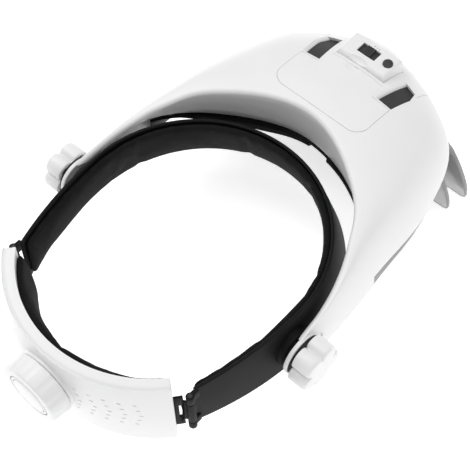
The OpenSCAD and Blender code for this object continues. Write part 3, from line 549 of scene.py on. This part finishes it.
nape = {"radius": 74.4, "centre": 20, "half": 50, "top": 32, "bottom": 27, "depth": 7, "swell": 2.6,
        "wall": 1.8, "cover": 1.6, "chamfer": 1.6, "padThick": 7, "padHalf": 26, "strap": 3.8,
        "mouthWide": 1.3, "mouthHigh": 16.6, "seamWidth": 2.0, "seamFloor": 1.2, "seamPull": 0.45}
nape["mid"] = (nape["top"] - nape["bottom"]) / 2
nape["high"] = (nape["top"] + nape["bottom"]) / 2


def napePoint(angle, radius, z):
    a = math.radians(angle)
    return radius * math.cos(a), nape["centre"] + radius * math.sin(a), z


def makeNapePad():
    steps = 44
    span = 2 * (nape["half"] - 0.5)
    inner = nape["radius"] - 0.5
    half = nape["padHalf"]
    rings = []
    for i in range(steps + 1):
        angle = 90 - span / 2 + span * i / steps
        ends = min(1, 0.9 + min(i, steps - i) / 8)
        thick = (nape["padThick"] - padding["swell"]) * ends
        ring = [napePoint(angle, inner, nape["mid"] + v * half * 0.98) for v in padding["wallRows"]]
        ring += [napePoint(angle, inner - thick * crown(v), nape["mid"] + v * half * 0.98)
                 for v in padding["rows"]]
        rings.append(ring)
    piece = sweptSkin("nape_cushion", rings)
    swollen(piece, padding["swell"])
    # one channel down the middle
    for vertex in piece.data.vertices:
        x, y = vertex.co.x / mm, vertex.co.y / mm
        angle = math.degrees(math.atan2(y - nape["centre"], x))
        radius = math.hypot(x, y - nape["centre"])
        depth = inner - radius
        if depth > nape["seamFloor"]:
            draw = math.exp(-((angle - 90) / nape["seamWidth"]) ** 2)
            radius += nape["seamPull"] * (depth - nape["seamFloor"]) * draw
            vertex.co.x, vertex.co.y = (c * mm for c in napePoint(angle, radius, 0)[:2])
    addModifier(piece, "SUBSURF", levels=1, render_levels=1)
    finishPiece(piece, padFabric, "rear_unit", ["rear_pad"], 180)


makeNapePad()
print("pads ready")


# Nape unit: housing swept round the nape arc, with a pedestal, grip dashes and strap mouths
napeDetail = {"edge": 1.2, "steps": 90, "dashColumns": 5, "dashRows": 5, "dashPitch": 5.66, "dashFirst": 15.6,
              "dashLength": 2.2, "dashHeight": 1.1, "dashThick": 0.9, "dashDepth": 0.45, "dashRise": 5.2,
              "dashMiddle": 7.6, "dashBack": 0.95}
ratchet = {"z": 6.3, "pedestal": 18.5, "rise": 6.2, "sunk": 2.9, "hubBore": 5.05}


def napeBack(z, inset=0):
    # radius of the housing's swelling back at height z
    swell = nape["swell"] * (1 - ((z - nape["mid"]) / nape["high"]) ** 2)
    return nape["radius"] + nape["depth"] - inset + swell


def napeProfile():
    # from the inner top corner over the chamfer and down the swelling back
    top, foot, edge = nape["top"], -nape["bottom"], napeDetail["edge"]
    inner = nape["radius"] + nape["cover"] - 0.03
    outer = nape["radius"] + nape["depth"]
    line = [(inner, top), (outer - nape["chamfer"] - edge, top), (outer - nape["chamfer"], top - 0.25),
            (outer - 0.5, top - 1.0)]
    for i in range(1, 24):
        z = nape["mid"] + nape["high"] * math.cos(math.radians(7.5 * i))
        line.append((napeBack(z), z))
    line += [(outer - 0.5, foot + 1.0), (outer - nape["chamfer"], foot + 0.25),
             (outer - nape["chamfer"] - edge, foot), (inner, foot)]
    return line


def makeRearShell():
    profile = napeProfile()
    start, span = 90 - nape["half"], 2 * nape["half"]
    # the two ends are eased, so their first rings are drawn in: turn in degrees, and how far in
    eased = [(0, 0.7), (0.25, 0.25), (0.7, 0)]

    def endRing(angle, inset):
        return [napePoint(angle, r - inset if r > nape["radius"] + 3 else r,
                          z - inset * (1 if z > nape["mid"] else -1)) for r, z in profile]

    rings = [endRing(start + step, inset) for step, inset in eased]
    for i in range(1, napeDetail["steps"]):
        angle = start + 0.7 + (span - 1.4) * i / napeDetail["steps"]
        rings.append([napePoint(angle, r, z) for r, z in profile])
    rings += [endRing(start + span - step, inset) for step, inset in reversed(eased)]
    piece = sweptSkin("nape_housing", rings)
    back = nape["centre"] + napeBack(ratchet["z"])
    pedestal = disc("pedestal", (0, back - ratchet["sunk"], ratchet["z"]), ratchet["pedestal"],
                    ratchet["rise"], "y", 128)
    ease(pedestal, 0.6)
    combine(piece, [pedestal], "UNION")
    cuts = [disc("hubBore", (0, back, ratchet["z"]), ratchet["hubBore"], 20, "y", 48)]
    # the hollow: the same profile one wall further in
    near, far = nape["radius"] - 1, nape["radius"] + nape["depth"] - nape["wall"] - nape["chamfer"]
    hollow = [(near, nape["top"] - nape["wall"]), (far, nape["top"] - nape["wall"])]
    for i in range(1, 12):
        z = nape["mid"] + (nape["high"] - nape["wall"]) * math.cos(math.radians(15 * i))
        hollow.append((napeBack(z, nape["wall"]), z))
    hollow += [(far, -nape["bottom"] + nape["wall"]), (near, -nape["bottom"] + nape["wall"])]
    cuts.append(sweptSkin("inside", [[napePoint(start + 1.4 + (span - 2.8) * i / 60, r, z) for r, z in hollow]
                                     for i in range(61)]))
    strapRadius = nape["radius"] + nape["strap"]
    wide, high = nape["mouthWide"], nape["mouthHigh"]
    corners = [(strapRadius - wide, -high), (strapRadius + wide, -high), (strapRadius + wide, high),
               (strapRadius - wide, high)]
    for angle in (start, start + span):
        cuts.append(sweptSkin("mouth", [[napePoint(angle + turn, r, z) for r, z in corners]
                                        for turn in (-2, 0, 2)]))
    cuts.append(makeDashes())
    combine(piece, cuts)
    return finishPiece(piece, whiteAbs, "rear_unit", ["rear_shell"], 30)


def makeDashes():
    # columns of short dashes bent into chevrons that point away from the knob
    d = napeDetail
    size = (d["dashThick"], d["dashLength"], d["dashHeight"])
    parts = []
    for side in (1, -1):
        for column in range(d["dashColumns"]):
            for row in range(d["dashRows"]):
                offset = row - (d["dashRows"] - 1) / 2
                turn = d["dashFirst"] + column * d["dashPitch"] - abs(offset) * d["dashBack"]
                z = d["dashMiddle"] + offset * d["dashRise"]
                angle = 90 + side * turn
                dash = box("dash", [-c / 2 for c in size], [c / 2 for c in size])
                ease(dash, 0.3)
                place = napePoint(angle, napeBack(z) - d["dashDepth"] + d["dashThick"] / 2, z)
                dash.location = [c * mm for c in place]
                dash.rotation_euler = (0, 0, math.radians(angle))
                settle(dash)
                parts.append(dash)
    return joined("dashes", parts)


makeRearShell()
print("nape housing ready")


# Visor: the same edge lines and sections as the solid, with a true round at the rear edge
visor = {
    "rearEdge": [(0, -104, 32), (27, -97, 31), (56, -77, 28), (69.5, -56, 23.5), (77, -38, 18), (81, -20, 13.5),
                 (82.7, 0, 10.6)],
    "lowEdge": [(0, -181, 12), (59, -163, -3), (78.5, -118, -12), (84, -72, -14), (86.8, -42, -15),
                (87.8, -20, -16), (88.3, 0, -16.6)],
    "wallDrop": [30, 33, 28, 16, 8, 6, 6], "wallLean": [2.4, 5.6, 6.4, 5.4, 3, 1.2, 0.5],
    "crownRise": [5, 5, 4, 3, 2, 1, 0.5], "crownPull": 0.55, "browPull": 0.97, "browLift": 0.55,
    "insetPull": 0.4, "wall": 2.2, "round": 3, "stations": 72, "lidWall": 2, "ends": 6.0, "middle": 2.6}
lidShape = {"halfWidth": 33, "rear": 108.6, "shoulder": 136.4, "front": 147.6, "corner": 9, "gap": 0.27,
            "tongue": 18.4, "slant": 1.6, "span": (20, 60)}
controls = {"halfWidth": 17.5, "rear": 150, "front": 169.4, "top": 33, "wall": 1.3, "slope": 3.2, "fall": 2.6,
            "nose": 6.6, "foot": 14.5, "waist": 23.5}
vents = {"outline": [(20.6, -137.6), (33, -137.4), (35.1, -153), (33, -160.8), (23.6, -163.2)], "depth": 2.4,
         "floor": 1.0, "ramp": 2.2, "span": (2, 50), "outerEdge": [(33, -137.6), (35, -153), (33, -160.6)],
         "innerEdge": [(-20.6, -137.8), (-22.1, -150.4), (-23.6, -163)], "seam": 35.25}
arm = {"inner": 84.2, "end": 2.6, "radius": 13.3, "seat": 1.4, "washer": 12, "star": 15, "bush": 6,
       "boss": 12.6}
sideWindow = {"rear": -63.5, "front": -119, "rearTop": -5.8, "frontTop": -11, "foot": -30}


def splineAt(values, s):
    # a smooth line through the given values; s counts the values from the middle of the visor
    vector = hasattr(values[0], "__len__")
    flip = s < 0
    s = abs(s)
    last = len(values) - 1
    i = min(int(s), last - 1)
    t = s - i
    rows = [list(v) if vector else [v] for v in values]
    before = rows[i - 1] if i > 0 else ([-rows[1][0]] + rows[1][1:] if vector else rows[1])
    after = rows[i + 2] if i < last - 1 else [2 * p - q for p, q in zip(rows[last], rows[last - 1])]
    out = [b + t * ((c - a) / 2 + t * ((2 * a - 5 * b + 4 * c - d) / 2 + t * (3 * b - a - 3 * c + d) / 2))
           for a, b, c, d in zip(before, rows[i], rows[i + 1], after)]
    if vector:
        return [-out[0]] + out[1:] if flip else out
    return out[0]


def sectionLine(s, inset, steps=16):
    # distance out from the rear edge, and height, from the foot of the rear wall to the lower edge
    a, b = splineAt(visor["rearEdge"], s), splineAt(visor["lowEdge"], s)
    length = math.hypot(b[0] - a[0], b[1] - a[1])
    drop, rise, r = splineAt(visor["wallDrop"], s), splineAt(visor["crownRise"], s), visor["round"]
    crownPull, browPull, pull = visor["crownPull"], visor["browPull"], visor["insetPull"]
    line = [(splineAt(visor["wallLean"], s) + inset, a[2] - drop), (inset, a[2] - r)]
    for i in range(1, 7):
        turn = math.radians(15 * i)
        line.append((r - (r - inset) * math.cos(turn), a[2] - r + (r - inset) * math.sin(turn)))
    ends = [(r, a[2] - inset), (max(r, crownPull * length - pull * inset), a[2] + rise - inset),
            (max(r, browPull * length - inset), b[2] + visor["browLift"] * (a[2] - b[2]) - pull * inset),
            (length - inset, b[2])]
    for i in range(1, steps + 1):
        t = i / steps
        weights = ((1 - t) ** 3, 3 * t * (1 - t) ** 2, 3 * t * t * (1 - t), t ** 3)
        line.append(tuple(sum(w * p[k] for w, p in zip(weights, ends)) for k in (0, 1)))
    return line


def placeSection(s, points):
    a, b = splineAt(visor["rearEdge"], s), splineAt(visor["lowEdge"], s)
    length = math.hypot(b[0] - a[0], b[1] - a[1])
    u, v = (b[0] - a[0]) / length, (b[1] - a[1]) / length
    return [(a[0] + u * d, a[1] + v * d, z) for d, z in points]


def visorSkin(name, outer, inner, reach, count):
    # the visor's surface between two insets, out to reach stations on both sides
    rings = []
    for i in range(-count, count + 1):
        s = reach * i / count
        rings.append(placeSection(s, sectionLine(s, outer) + list(reversed(sectionLine(s, inner)))))
    return sweptSkin(name, rings)


def middleSkin(name, outer, inner, count=40):
    return visorSkin(name, outer, inner, visor["middle"], count)


def lidOutline(gap):
    w, c = lidShape["halfWidth"] - gap, lidShape["corner"]
    points = []
    for start, cx in ((0, w - c), (90, c - w)):
        for i in range(13):
            a = math.radians(start + 7.5 * i)
            points.append((cx + c * math.cos(a), -lidShape["rear"] - gap - c + c * math.sin(a)))
    shoulder, front, tongue = -lidShape["shoulder"] + gap, -lidShape["front"] + gap, lidShape["tongue"]
    slanted = tongue + lidShape["slant"]
    return points + [(-w, shoulder), (-slanted, shoulder), (-tongue, front), (tongue, front),
                     (slanted, shoulder), (w, shoulder)]


def ventPrism(name, side):
    return prism(name, [(side * x, y) for x, y in vents["outline"]], *vents["span"])


def controlOutline(grow):
    w = controls["halfWidth"] + grow
    low, high = -controls["front"] - grow, -controls["rear"] + grow
    return [(-w, low), (w, low), (w, high), (-w, high)]


def windowRoom(side):
    # room for a side window: a leaning strip along the arm's foot
    w = sideWindow
    outline = [(w["rear"], w["foot"]), (w["rear"], w["rearTop"]), (w["front"], w["frontTop"]),
               (w["front"], w["foot"])]
    points = [(side * x, y, z) for x in (60, 100) for y, z in outline]
    faces = [[0, 1, 2, 3], [7, 6, 5, 4]] + [[k, k + 4, (k + 1) % 4 + 4, (k + 1) % 4] for k in range(4)]
    return mergeAndTurnOut(meshFrom("windowRoom", points, faces))


def skinHeight(skin, x, y):
    # height of the visor's outer face at a point
    hit, place = skin.ray_cast(Vector((x * mm, y * mm, 0.2)), Vector((0, 0, -1)))[:2]
    return place.z / mm if hit else 20


def makeVentRamp(skin, edge):
    # the white wall on the +X side of a vent, rolled from the skin down to the floor
    top = [(x, y, skinHeight(skin, x + 0.4, y) - 0.08) for x, y in edge]
    depth, reach = vents["depth"] + 0.8, vents["ramp"]
    rings = []
    for x, y, z in top:
        ring = [(x + 0.3, y, z - depth), (x + 0.3, y, z)]
        for i in range(9):
            a = math.radians(11.25 * i)
            ring.append((x - reach * math.sin(a), y, z - depth * (1 - math.cos(a))))
        rings.append(ring)
    return sweptSkin("ventRamp", rings)


def makeSeamGroove(side):
    # a fine seam from the vent's outer corner to the front edge
    x = side * vents["seam"]
    line = box("seamLine", (x - 0.2, -182, 5), (x + 0.2, -159.5, 40))
    return combine(middleSkin("seamGroove", -0.5, 0.45), [line], "INTERSECT")


def makeVisorShell():
    piece = visorSkin("visor_shell_white", 0, visor["wall"], visor["ends"], visor["stations"])
    extras = [makeVentRamp(piece, edge) for edge in (vents["outerEdge"], vents["innerEdge"])]
    # a ledge under the lid's gap, so that the gap has a floor
    ledge = combine(middleSkin("ledge", 0.45, 3.0), [prism("ledgeOut", lidOutline(-0.5), *lidShape["span"])],
                    "INTERSECT")
    extras.append(combine(ledge, [prism("ledgeIn", lidOutline(0.2), 10, 70)]))
    discs = []
    for side in (1, -1):
        end = onPivot("armEnd", side * (arm["inner"] + arm["end"] / 2), arm["radius"], arm["end"])
        ease(end, 0.7, 3)
        discs.append(end)
    combine(piece, [joined("armEnds", discs)], "UNION")
    outer = arm["inner"] + arm["end"]
    first = [prism("lidRoom", lidOutline(0), *lidShape["span"]),
             prism("controlRoom", controlOutline(0.15), 0, 60)]
    second, third = [], []
    for side in (1, -1):
        first.append(ventPrism("ventRoom", side))
        # rooms for the bush, the star knob, the band's boss and the washer, in line with the pivot
        first.append(onPivot("bushBore", side * 85, arm["bush"], 15, 64))
        second.append(onPivot("knobRoom", side * (outer + 5), arm["star"] + 0.6, 10))
        second.append(onPivot("bossRoom", side * (arm["inner"] - 4), arm["boss"], 8, 96))
        second.append(windowRoom(side))
        third.append(onPivot("seat", side * (outer - arm["seat"] + 5), arm["washer"] + 0.4, 10))
    second += [makeSeamGroove(1), makeSeamGroove(-1)]
    combine(piece, [joined("firstCut", first), joined("secondCut", second), joined("thirdCut", third)])
    joined("visor_shell_white", [piece] + extras)
    return finishPiece(piece, whiteAbs, "visor", ["visor_shell"], 28)


def makeVentFloors():
    # dark grey floors that follow the visor's curve just under its skin
    outlines = [ventPrism("ventPlan", side) for side in (1, -1)]
    piece = middleSkin("vent_floors_grey", vents["depth"], vents["depth"] + vents["floor"])
    combine(piece, [joined("ventPlans", outlines)], "INTERSECT")
    return finishPiece(piece, greyAbs, "visor", ["vent_ducts"], 28)


makeVisorShell()
makeVentFloors()
print("visor shell ready")


thumb = {"x": 2, "y": -147.2, "halfWidth": 12, "halfDepth": 7.5, "height": 8, "floor": 29.9}


def thumbNotch():
    # a shallow oval dish that lets a finger under the lid's front edge
    t = thumb
    deselectAll()
    bpy.ops.mesh.primitive_uv_sphere_add(segments=64, ring_count=40, radius=1 * mm,
                                         location=(t["x"] * mm, t["y"] * mm, (t["floor"] + t["height"]) * mm),
                                         scale=(t["halfWidth"], t["halfDepth"], t["height"]))
    return settle(bpy.context.object)


def makeBatteryLid():
    piece = middleSkin("battery_lid_white", 0, visor["lidWall"], 48)
    combine(piece, [prism("lidCut", lidOutline(lidShape["gap"]), *lidShape["span"])], "INTERSECT")
    combine(piece, [thumbNotch()])
    return finishPiece(piece, whiteAbs, "lid", ["battery_lid"], 28)


makeBatteryLid()

liner = {"reach": 3.4, "thick": 2.4, "stations": 140, "lip": 1.7, "more": 1.3, "recess": (-0.52, -0.03)}


def linerSection(s):
    p = sectionLine(s, 0)
    # the lip stands out in the middle, has one recess, fades towards the -X arm and is deeper on the +X side
    deeper = max(0, min(1, s, 2.6 - s))
    if s > 0:
        lip = liner["lip"] * min(1, max(0, 3 - s)) + liner["more"] * deeper
    elif liner["recess"][0] < s < liner["recess"][1]:
        lip = 0
    else:
        lip = liner["lip"] * min(1, max(-0.6, (1.7 - abs(s)) / 1.2))
    r0, r1 = p[0][0] - lip, p[-1][0] - visor["wall"] - 1.6
    z0, z1 = p[0][1] - 0.9, p[-1][1] + 2.2
    extra = 1.6 * liner["more"] * deeper
    drop = liner["thick"] + extra
    steps = 8
    top = [(r0 + (r1 - r0) * i / steps, z0 + (z1 - z0) * i / steps) for i in range(steps + 1)]
    # the extra depth fades towards the front, where a raised lens plate lies close
    foot = [(r0 + (r1 - r0) * i / steps, z0 - drop - 1 + (z1 - z0 + 1 + extra) * i / steps)
            for i in range(steps, -1, -1)]
    edge = [(r0 - 0.05, z0 - drop - 0.4), (r0 - 0.05, z0 - 0.6)]
    return placeSection(s, [(r0 + 0.5, z0)] + top[1:] + foot[:-1] + [(r0 + 0.5, z0 - drop - 1)] + edge)


def makeUnderCover():
    count = liner["stations"]
    rings = [linerSection(liner["reach"] * i / count) for i in range(-count, count + 1)]
    piece = sweptSkin("under_cover_black", rings)
    return finishPiece(piece, blackNylon, "visor", ["visor_liner"], 40)


makeUnderCover()
print("lid and underside cover ready")


# Switch housing on the visor's front, with its window, button hole and three tiny marks
switchWindow = {"x": 1.4, "width": 13, "depth": 7.4}
pushButton = {"x": -12.5, "radius": 3}
marks = {"places": [(1.2, -165.0), (-0.6, -164.9), (-2.3, -164.8)], "halfWidth": 0.22, "halfDepth": 0.3,
         "proud": 0.04}
controlMid = -(controls["rear"] + controls["front"]) / 2


def makeControlHousing():
    w, low, high, top = controls["halfWidth"], -controls["front"], -controls["rear"], controls["top"]
    slope, fall, wall, nose = (controls[k] for k in ("slope", "fall", "wall", "nose"))

    def ring(inset, rear, front, z, nose=0):
        # the rear is straight, the front bows out by nose
        half = w - inset
        points = [(half, rear, z), (-half, rear, z)]
        for i in range(17):
            t = -1 + i / 8
            points.append((half * t, front - nose * (1 - abs(t) ** 2.5), z))
        return points

    piece = sweptSkin("control_housing_white", [
        ring(0, high, low, controls["foot"], nose), ring(0, high, low, controls["waist"], nose),
        ring(0.1, high, low + 0.3, 25, 0.93 * nose),
        ring(0.3, high, low + 0.38 * slope, top - 1.6, 0.12 * nose), ring(1.4, high - 1.4, low + slope, top)])
    ease(piece, 0.6, 3, 28)
    hollow = sweptSkin("hollow", [
        ring(wall, high - wall, low + wall, 10), ring(wall, high - wall, low + wall, top - wall - fall),
        ring(wall, high - wall, low + slope + 0.2, top - wall)])
    # the hollow keeps away from the finger dish
    combine(hollow, [disc("thumbWall", (thumb["x"], thumb["y"], 30), thumb["halfWidth"] - 3, 30, "z", 64)])
    s = switchWindow
    window = box("window", (s["x"] - s["width"] / 2, controlMid - s["depth"] / 2, 25),
                 (s["x"] + s["width"] / 2, controlMid + s["depth"] / 2, 40))
    hole = disc("hole", (pushButton["x"], controlMid, 33), pushButton["radius"] + 0.15, 16, "z", 64)
    combine(piece, [hollow])
    combine(piece, [joined("openings", [window, hole]), thumbNotch()])
    wide, deep = marks["halfWidth"], marks["halfDepth"]
    bars = [box("mark", (x - wide, y - deep, top - 0.3), (x + wide, y + deep, top + marks["proud"]))
            for x, y in marks["places"]]
    finishPiece(joined("switch_marks_grey", bars), greyAbs, "visor", (), 30)
    return finishPiece(piece, whiteAbs, "visor", ["control_housing"], 30)


makeControlHousing()


def softened(nodeName, name, material, body, width, segments=2):
    # a copy of a CAD node with its flat faces cleaned and its edges eased
    source = nodes[nodeName]
    piece = bpy.data.objects.new(name, source.data.copy())
    bpy.context.scene.collection.objects.link(piece)
    mergeAndTurnOut(piece, 0.002)
    editAll(piece)
    bpy.ops.mesh.dissolve_limited(angle_limit=math.radians(1))
    bpy.ops.object.mode_set(mode="OBJECT")
    ease(piece, width, segments)
    return finishPiece(piece, material, body, [nodeName], 35)


softened("slide_switch", "switch_slider_grey", greyAbs, "slider", 0.25)
softened("push_button", "push_button_grey", greyAbs, "button", 0.35, 3)
print("controls ready")


# Knobs
starKnob = {"lobes": 5, "lobeRadius": 7, "tip": 15, "back": 88.6, "thick": 12, "hollow": 2.6, "edge": 2.2,
            "notch": 1.5, "notchWidth": 6, "bore": 3.05, "nut": 5.6, "nutDepth": 5.4, "steps": 240}


def makeStarKnob(side, name, body, replaced):
    s = starKnob
    step = 2 * math.pi / s["lobes"]
    start = 0 if side > 0 else math.pi  # the first lobe hangs straight down
    reach = s["tip"] - s["lobeRadius"]

    def lobedRadius(a):
        # the outer of a lobe's circle, with a notch where two lobes meet
        off = (a - start + step / 2) % step - step / 2
        notch = s["notch"] * math.exp(-((step / 2 - abs(off)) / math.radians(s["notchWidth"])) ** 2)
        return reach * math.cos(off) + math.sqrt(s["lobeRadius"] ** 2 - (reach * math.sin(off)) ** 2) - notch

    rings = []
    half, edge = s["thick"] / 2, s["edge"]
    # eased at the back, well rounded at the face
    profile = [(-half, 0.8), (-half + 0.25, 0.25), (-half + 0.8, 0)]
    for i in range(7):
        turn = math.radians(15 * i)
        profile.append((half - edge + edge * math.sin(turn), edge * (1 - math.cos(turn))))
    angles = [2 * math.pi * i / s["steps"] for i in range(s["steps"])]
    for z, inset in profile:
        rings.append([((lobedRadius(a) - inset) * math.cos(a), (lobedRadius(a) - inset) * math.sin(a), z)
                      for a in angles])
    piece = sweptSkin(name, rings)
    # hollows on the back: the bolt's bore, one pocket in each lobe, and the nut's seat
    cuts = [disc("bore", (0, 0, -1), s["bore"], s["thick"] - 1.6, "z", 40)]
    away = s["tip"] - s["hollow"] - 2
    for i in range(s["lobes"]):
        a = start + step * i
        cuts.append(disc("lobeHollow", (away * math.cos(a), away * math.sin(a), -2),
                         s["hollow"], s["thick"] - 2, "z", 40))
    combine(piece, [joined("hollows", cuts)])
    deselectAll()
    bpy.ops.mesh.primitive_cylinder_add(vertices=6, radius=s["nut"] * mm, depth=s["nutDepth"] * mm,
                                        location=(0, 0, (2 + (s["nutDepth"] - s["thick"]) / 2) * mm))
    combine(piece, [bpy.context.object])
    middleX = s["back"] + s["thick"] / 2
    piece.location = (side * middleX * mm, 0, -pivot["drop"] * mm)
    piece.rotation_euler = (0, side * math.pi / 2, 0)
    settle(piece)
    return finishPiece(piece, whiteAbs, body, [replaced], 40)


makeStarKnob(1, "star_knob_left_white", "left_tilt_knob", "star_knob_left")
makeStarKnob(-1, "star_knob_right_white", "right_tilt_knob", "star_knob_right")

sizeKnob = {"radius": 19, "flare": 1, "height": 12, "flutes": 12, "flute": 0.35, "edge": 1.4, "gap": 0.5,
            "cap": 11.1, "capThick": 1.4, "capSunk": 0.45, "seat": 2.6, "ring": (12.9, 13.8), "wall": 3.4}
napeBackY = nape["centre"] + napeBack(ratchet["z"])


def makeSizeKnob():
    k = sizeKnob
    face = napeBackY + k["gap"] + k["height"]
    deselectAll()
    bpy.ops.mesh.primitive_cone_add(vertices=240, radius1=(k["radius"] + k["flare"]) * mm,
                                    radius2=k["radius"] * mm, depth=k["height"] * mm)
    piece = bpy.context.object
    piece.name = "size_knob_white"
    for vertex in piece.data.vertices:
        r = math.hypot(vertex.co.x, vertex.co.y)
        a = math.atan2(vertex.co.y, vertex.co.x)
        dip = k["flute"] * mm * max(0, math.cos(k["flutes"] * a)) ** 1.5
        vertex.co.x *= (r - dip) / r
        vertex.co.y *= (r - dip) / r
    ease(piece, k["edge"], 4, 60)
    half = k["height"] / 2
    combine(piece, [disc("inside", (0, 0, -3.2), k["radius"] - k["wall"], k["height"], "z", 96)])
    # a seat for the cap and a groove round it
    ring = disc("ringOuter", (0, 0, half), k["ring"][1], k["seat"], "z", 160)
    combine(ring, [disc("ringInner", (0, 0, half), k["ring"][0], 4, "z", 160)])
    combine(piece, [disc("capSeat", (0, 0, half), k["cap"] + 0.4, k["seat"], "z", 120), ring])
    piece.location = (0, (face - half) * mm, ratchet["z"] * mm)
    piece.rotation_euler = (-math.pi / 2, 0, 0)
    settle(piece)
    finishPiece(piece, whiteAbs, "ratchet_knob", ["size_knob"], 40)
    cap = disc("size_knob_cap_white", (0, face - k["capSunk"], ratchet["z"]), k["cap"], k["capThick"], "y", 120)
    ease(cap, 0.35)
    finishPiece(cap, whiteAbs, "ratchet_knob", ["size_knob_cap"], 40)


makeSizeKnob()
print("knobs ready")


# Straps: plates with a slot, sliding out of the nape unit's mouths
strapLink = {"core": 2, "outer": 3.2, "turnedDown": 0.65, "stretch": (-0.1, 1.4)}


def makeStrap(side, nodeName, name):
    piece = softened(nodeName, name, blackNylon, "headband", 0.25)
    piece.parent = None
    # the link's knuckle is turned down a little, like the band's own
    for vertex in piece.data.vertices:
        away = Vector((vertex.co.x - side * hinge["x"] * mm, vertex.co.y - hinge["y"] * mm, 0))
        if strapLink["core"] * mm < away.length < strapLink["outer"] * mm:
            vertex.co -= away.normalized() * (away.length - strapLink["core"] * mm) * strapLink["turnedDown"]
    # two cuts across the strap, just inside the mouth
    a = math.radians(90 - nape["half"])
    radius = nape["radius"] + nape["strap"]
    along = (-side * math.sin(a), math.cos(a), 0)
    mouth = [side * radius * math.cos(a), nape["centre"] + radius * math.sin(a), 0]
    ends = [[(m + v * c) * mm for m, c in zip(mouth, along)] for v in strapLink["stretch"]]
    for end in ends:
        editAll(piece)
        bpy.ops.mesh.bisect(plane_co=end, plane_no=along)
        bpy.ops.object.mode_set(mode="OBJECT")
    if "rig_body" in piece:
        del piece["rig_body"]
    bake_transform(piece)


makeStrap(1, "strap_left", "strap_left_black")
makeStrap(-1, "strap_right", "strap_right_black")
print("straps ready")


# What is left: small parts that keep their own node, and the two lens plates with eased edges
plainNodes = {
    zincSteel: "pivot_bolts cover_screws ratchet_spring star_nut_left star_nut_right liner_screws "
               "battery_contacts lens_pins lamp_pins",
    whiteAbs: "rear_cover pivot_bushes lamp_bracket lamp_housing",
    greyAbs: "rack_left rack_right pinion switch_body tact_switch",
    blackNylon: "battery_tray lens_bracket main_lens_clip front_lens_clip",
    washerRubber: "friction_washers", batterySleeve: "batteries", solderMask: "circuit_board",
    mirrorCoat: "lamp_reflector", phosphor: "lamp_leds", lensAcrylic: "lamp_lens",
    blackenedSteel: "hinge_pins", smokedAcrylic: "side_windows"}
for material, names in plainNodes.items():
    for nodeName in names.split():
        nodes[nodeName].data.materials.clear()
        nodes[nodeName].data.materials.append(material)

softened("main_lens", "main_lens_clear", lensAcrylic, "main_plate", 0.6, 3)
softened("front_lens", "front_lens_clear", lensAcrylic, "front_plate", 0.6, 3)
print("small parts ready")

print("scene ready")
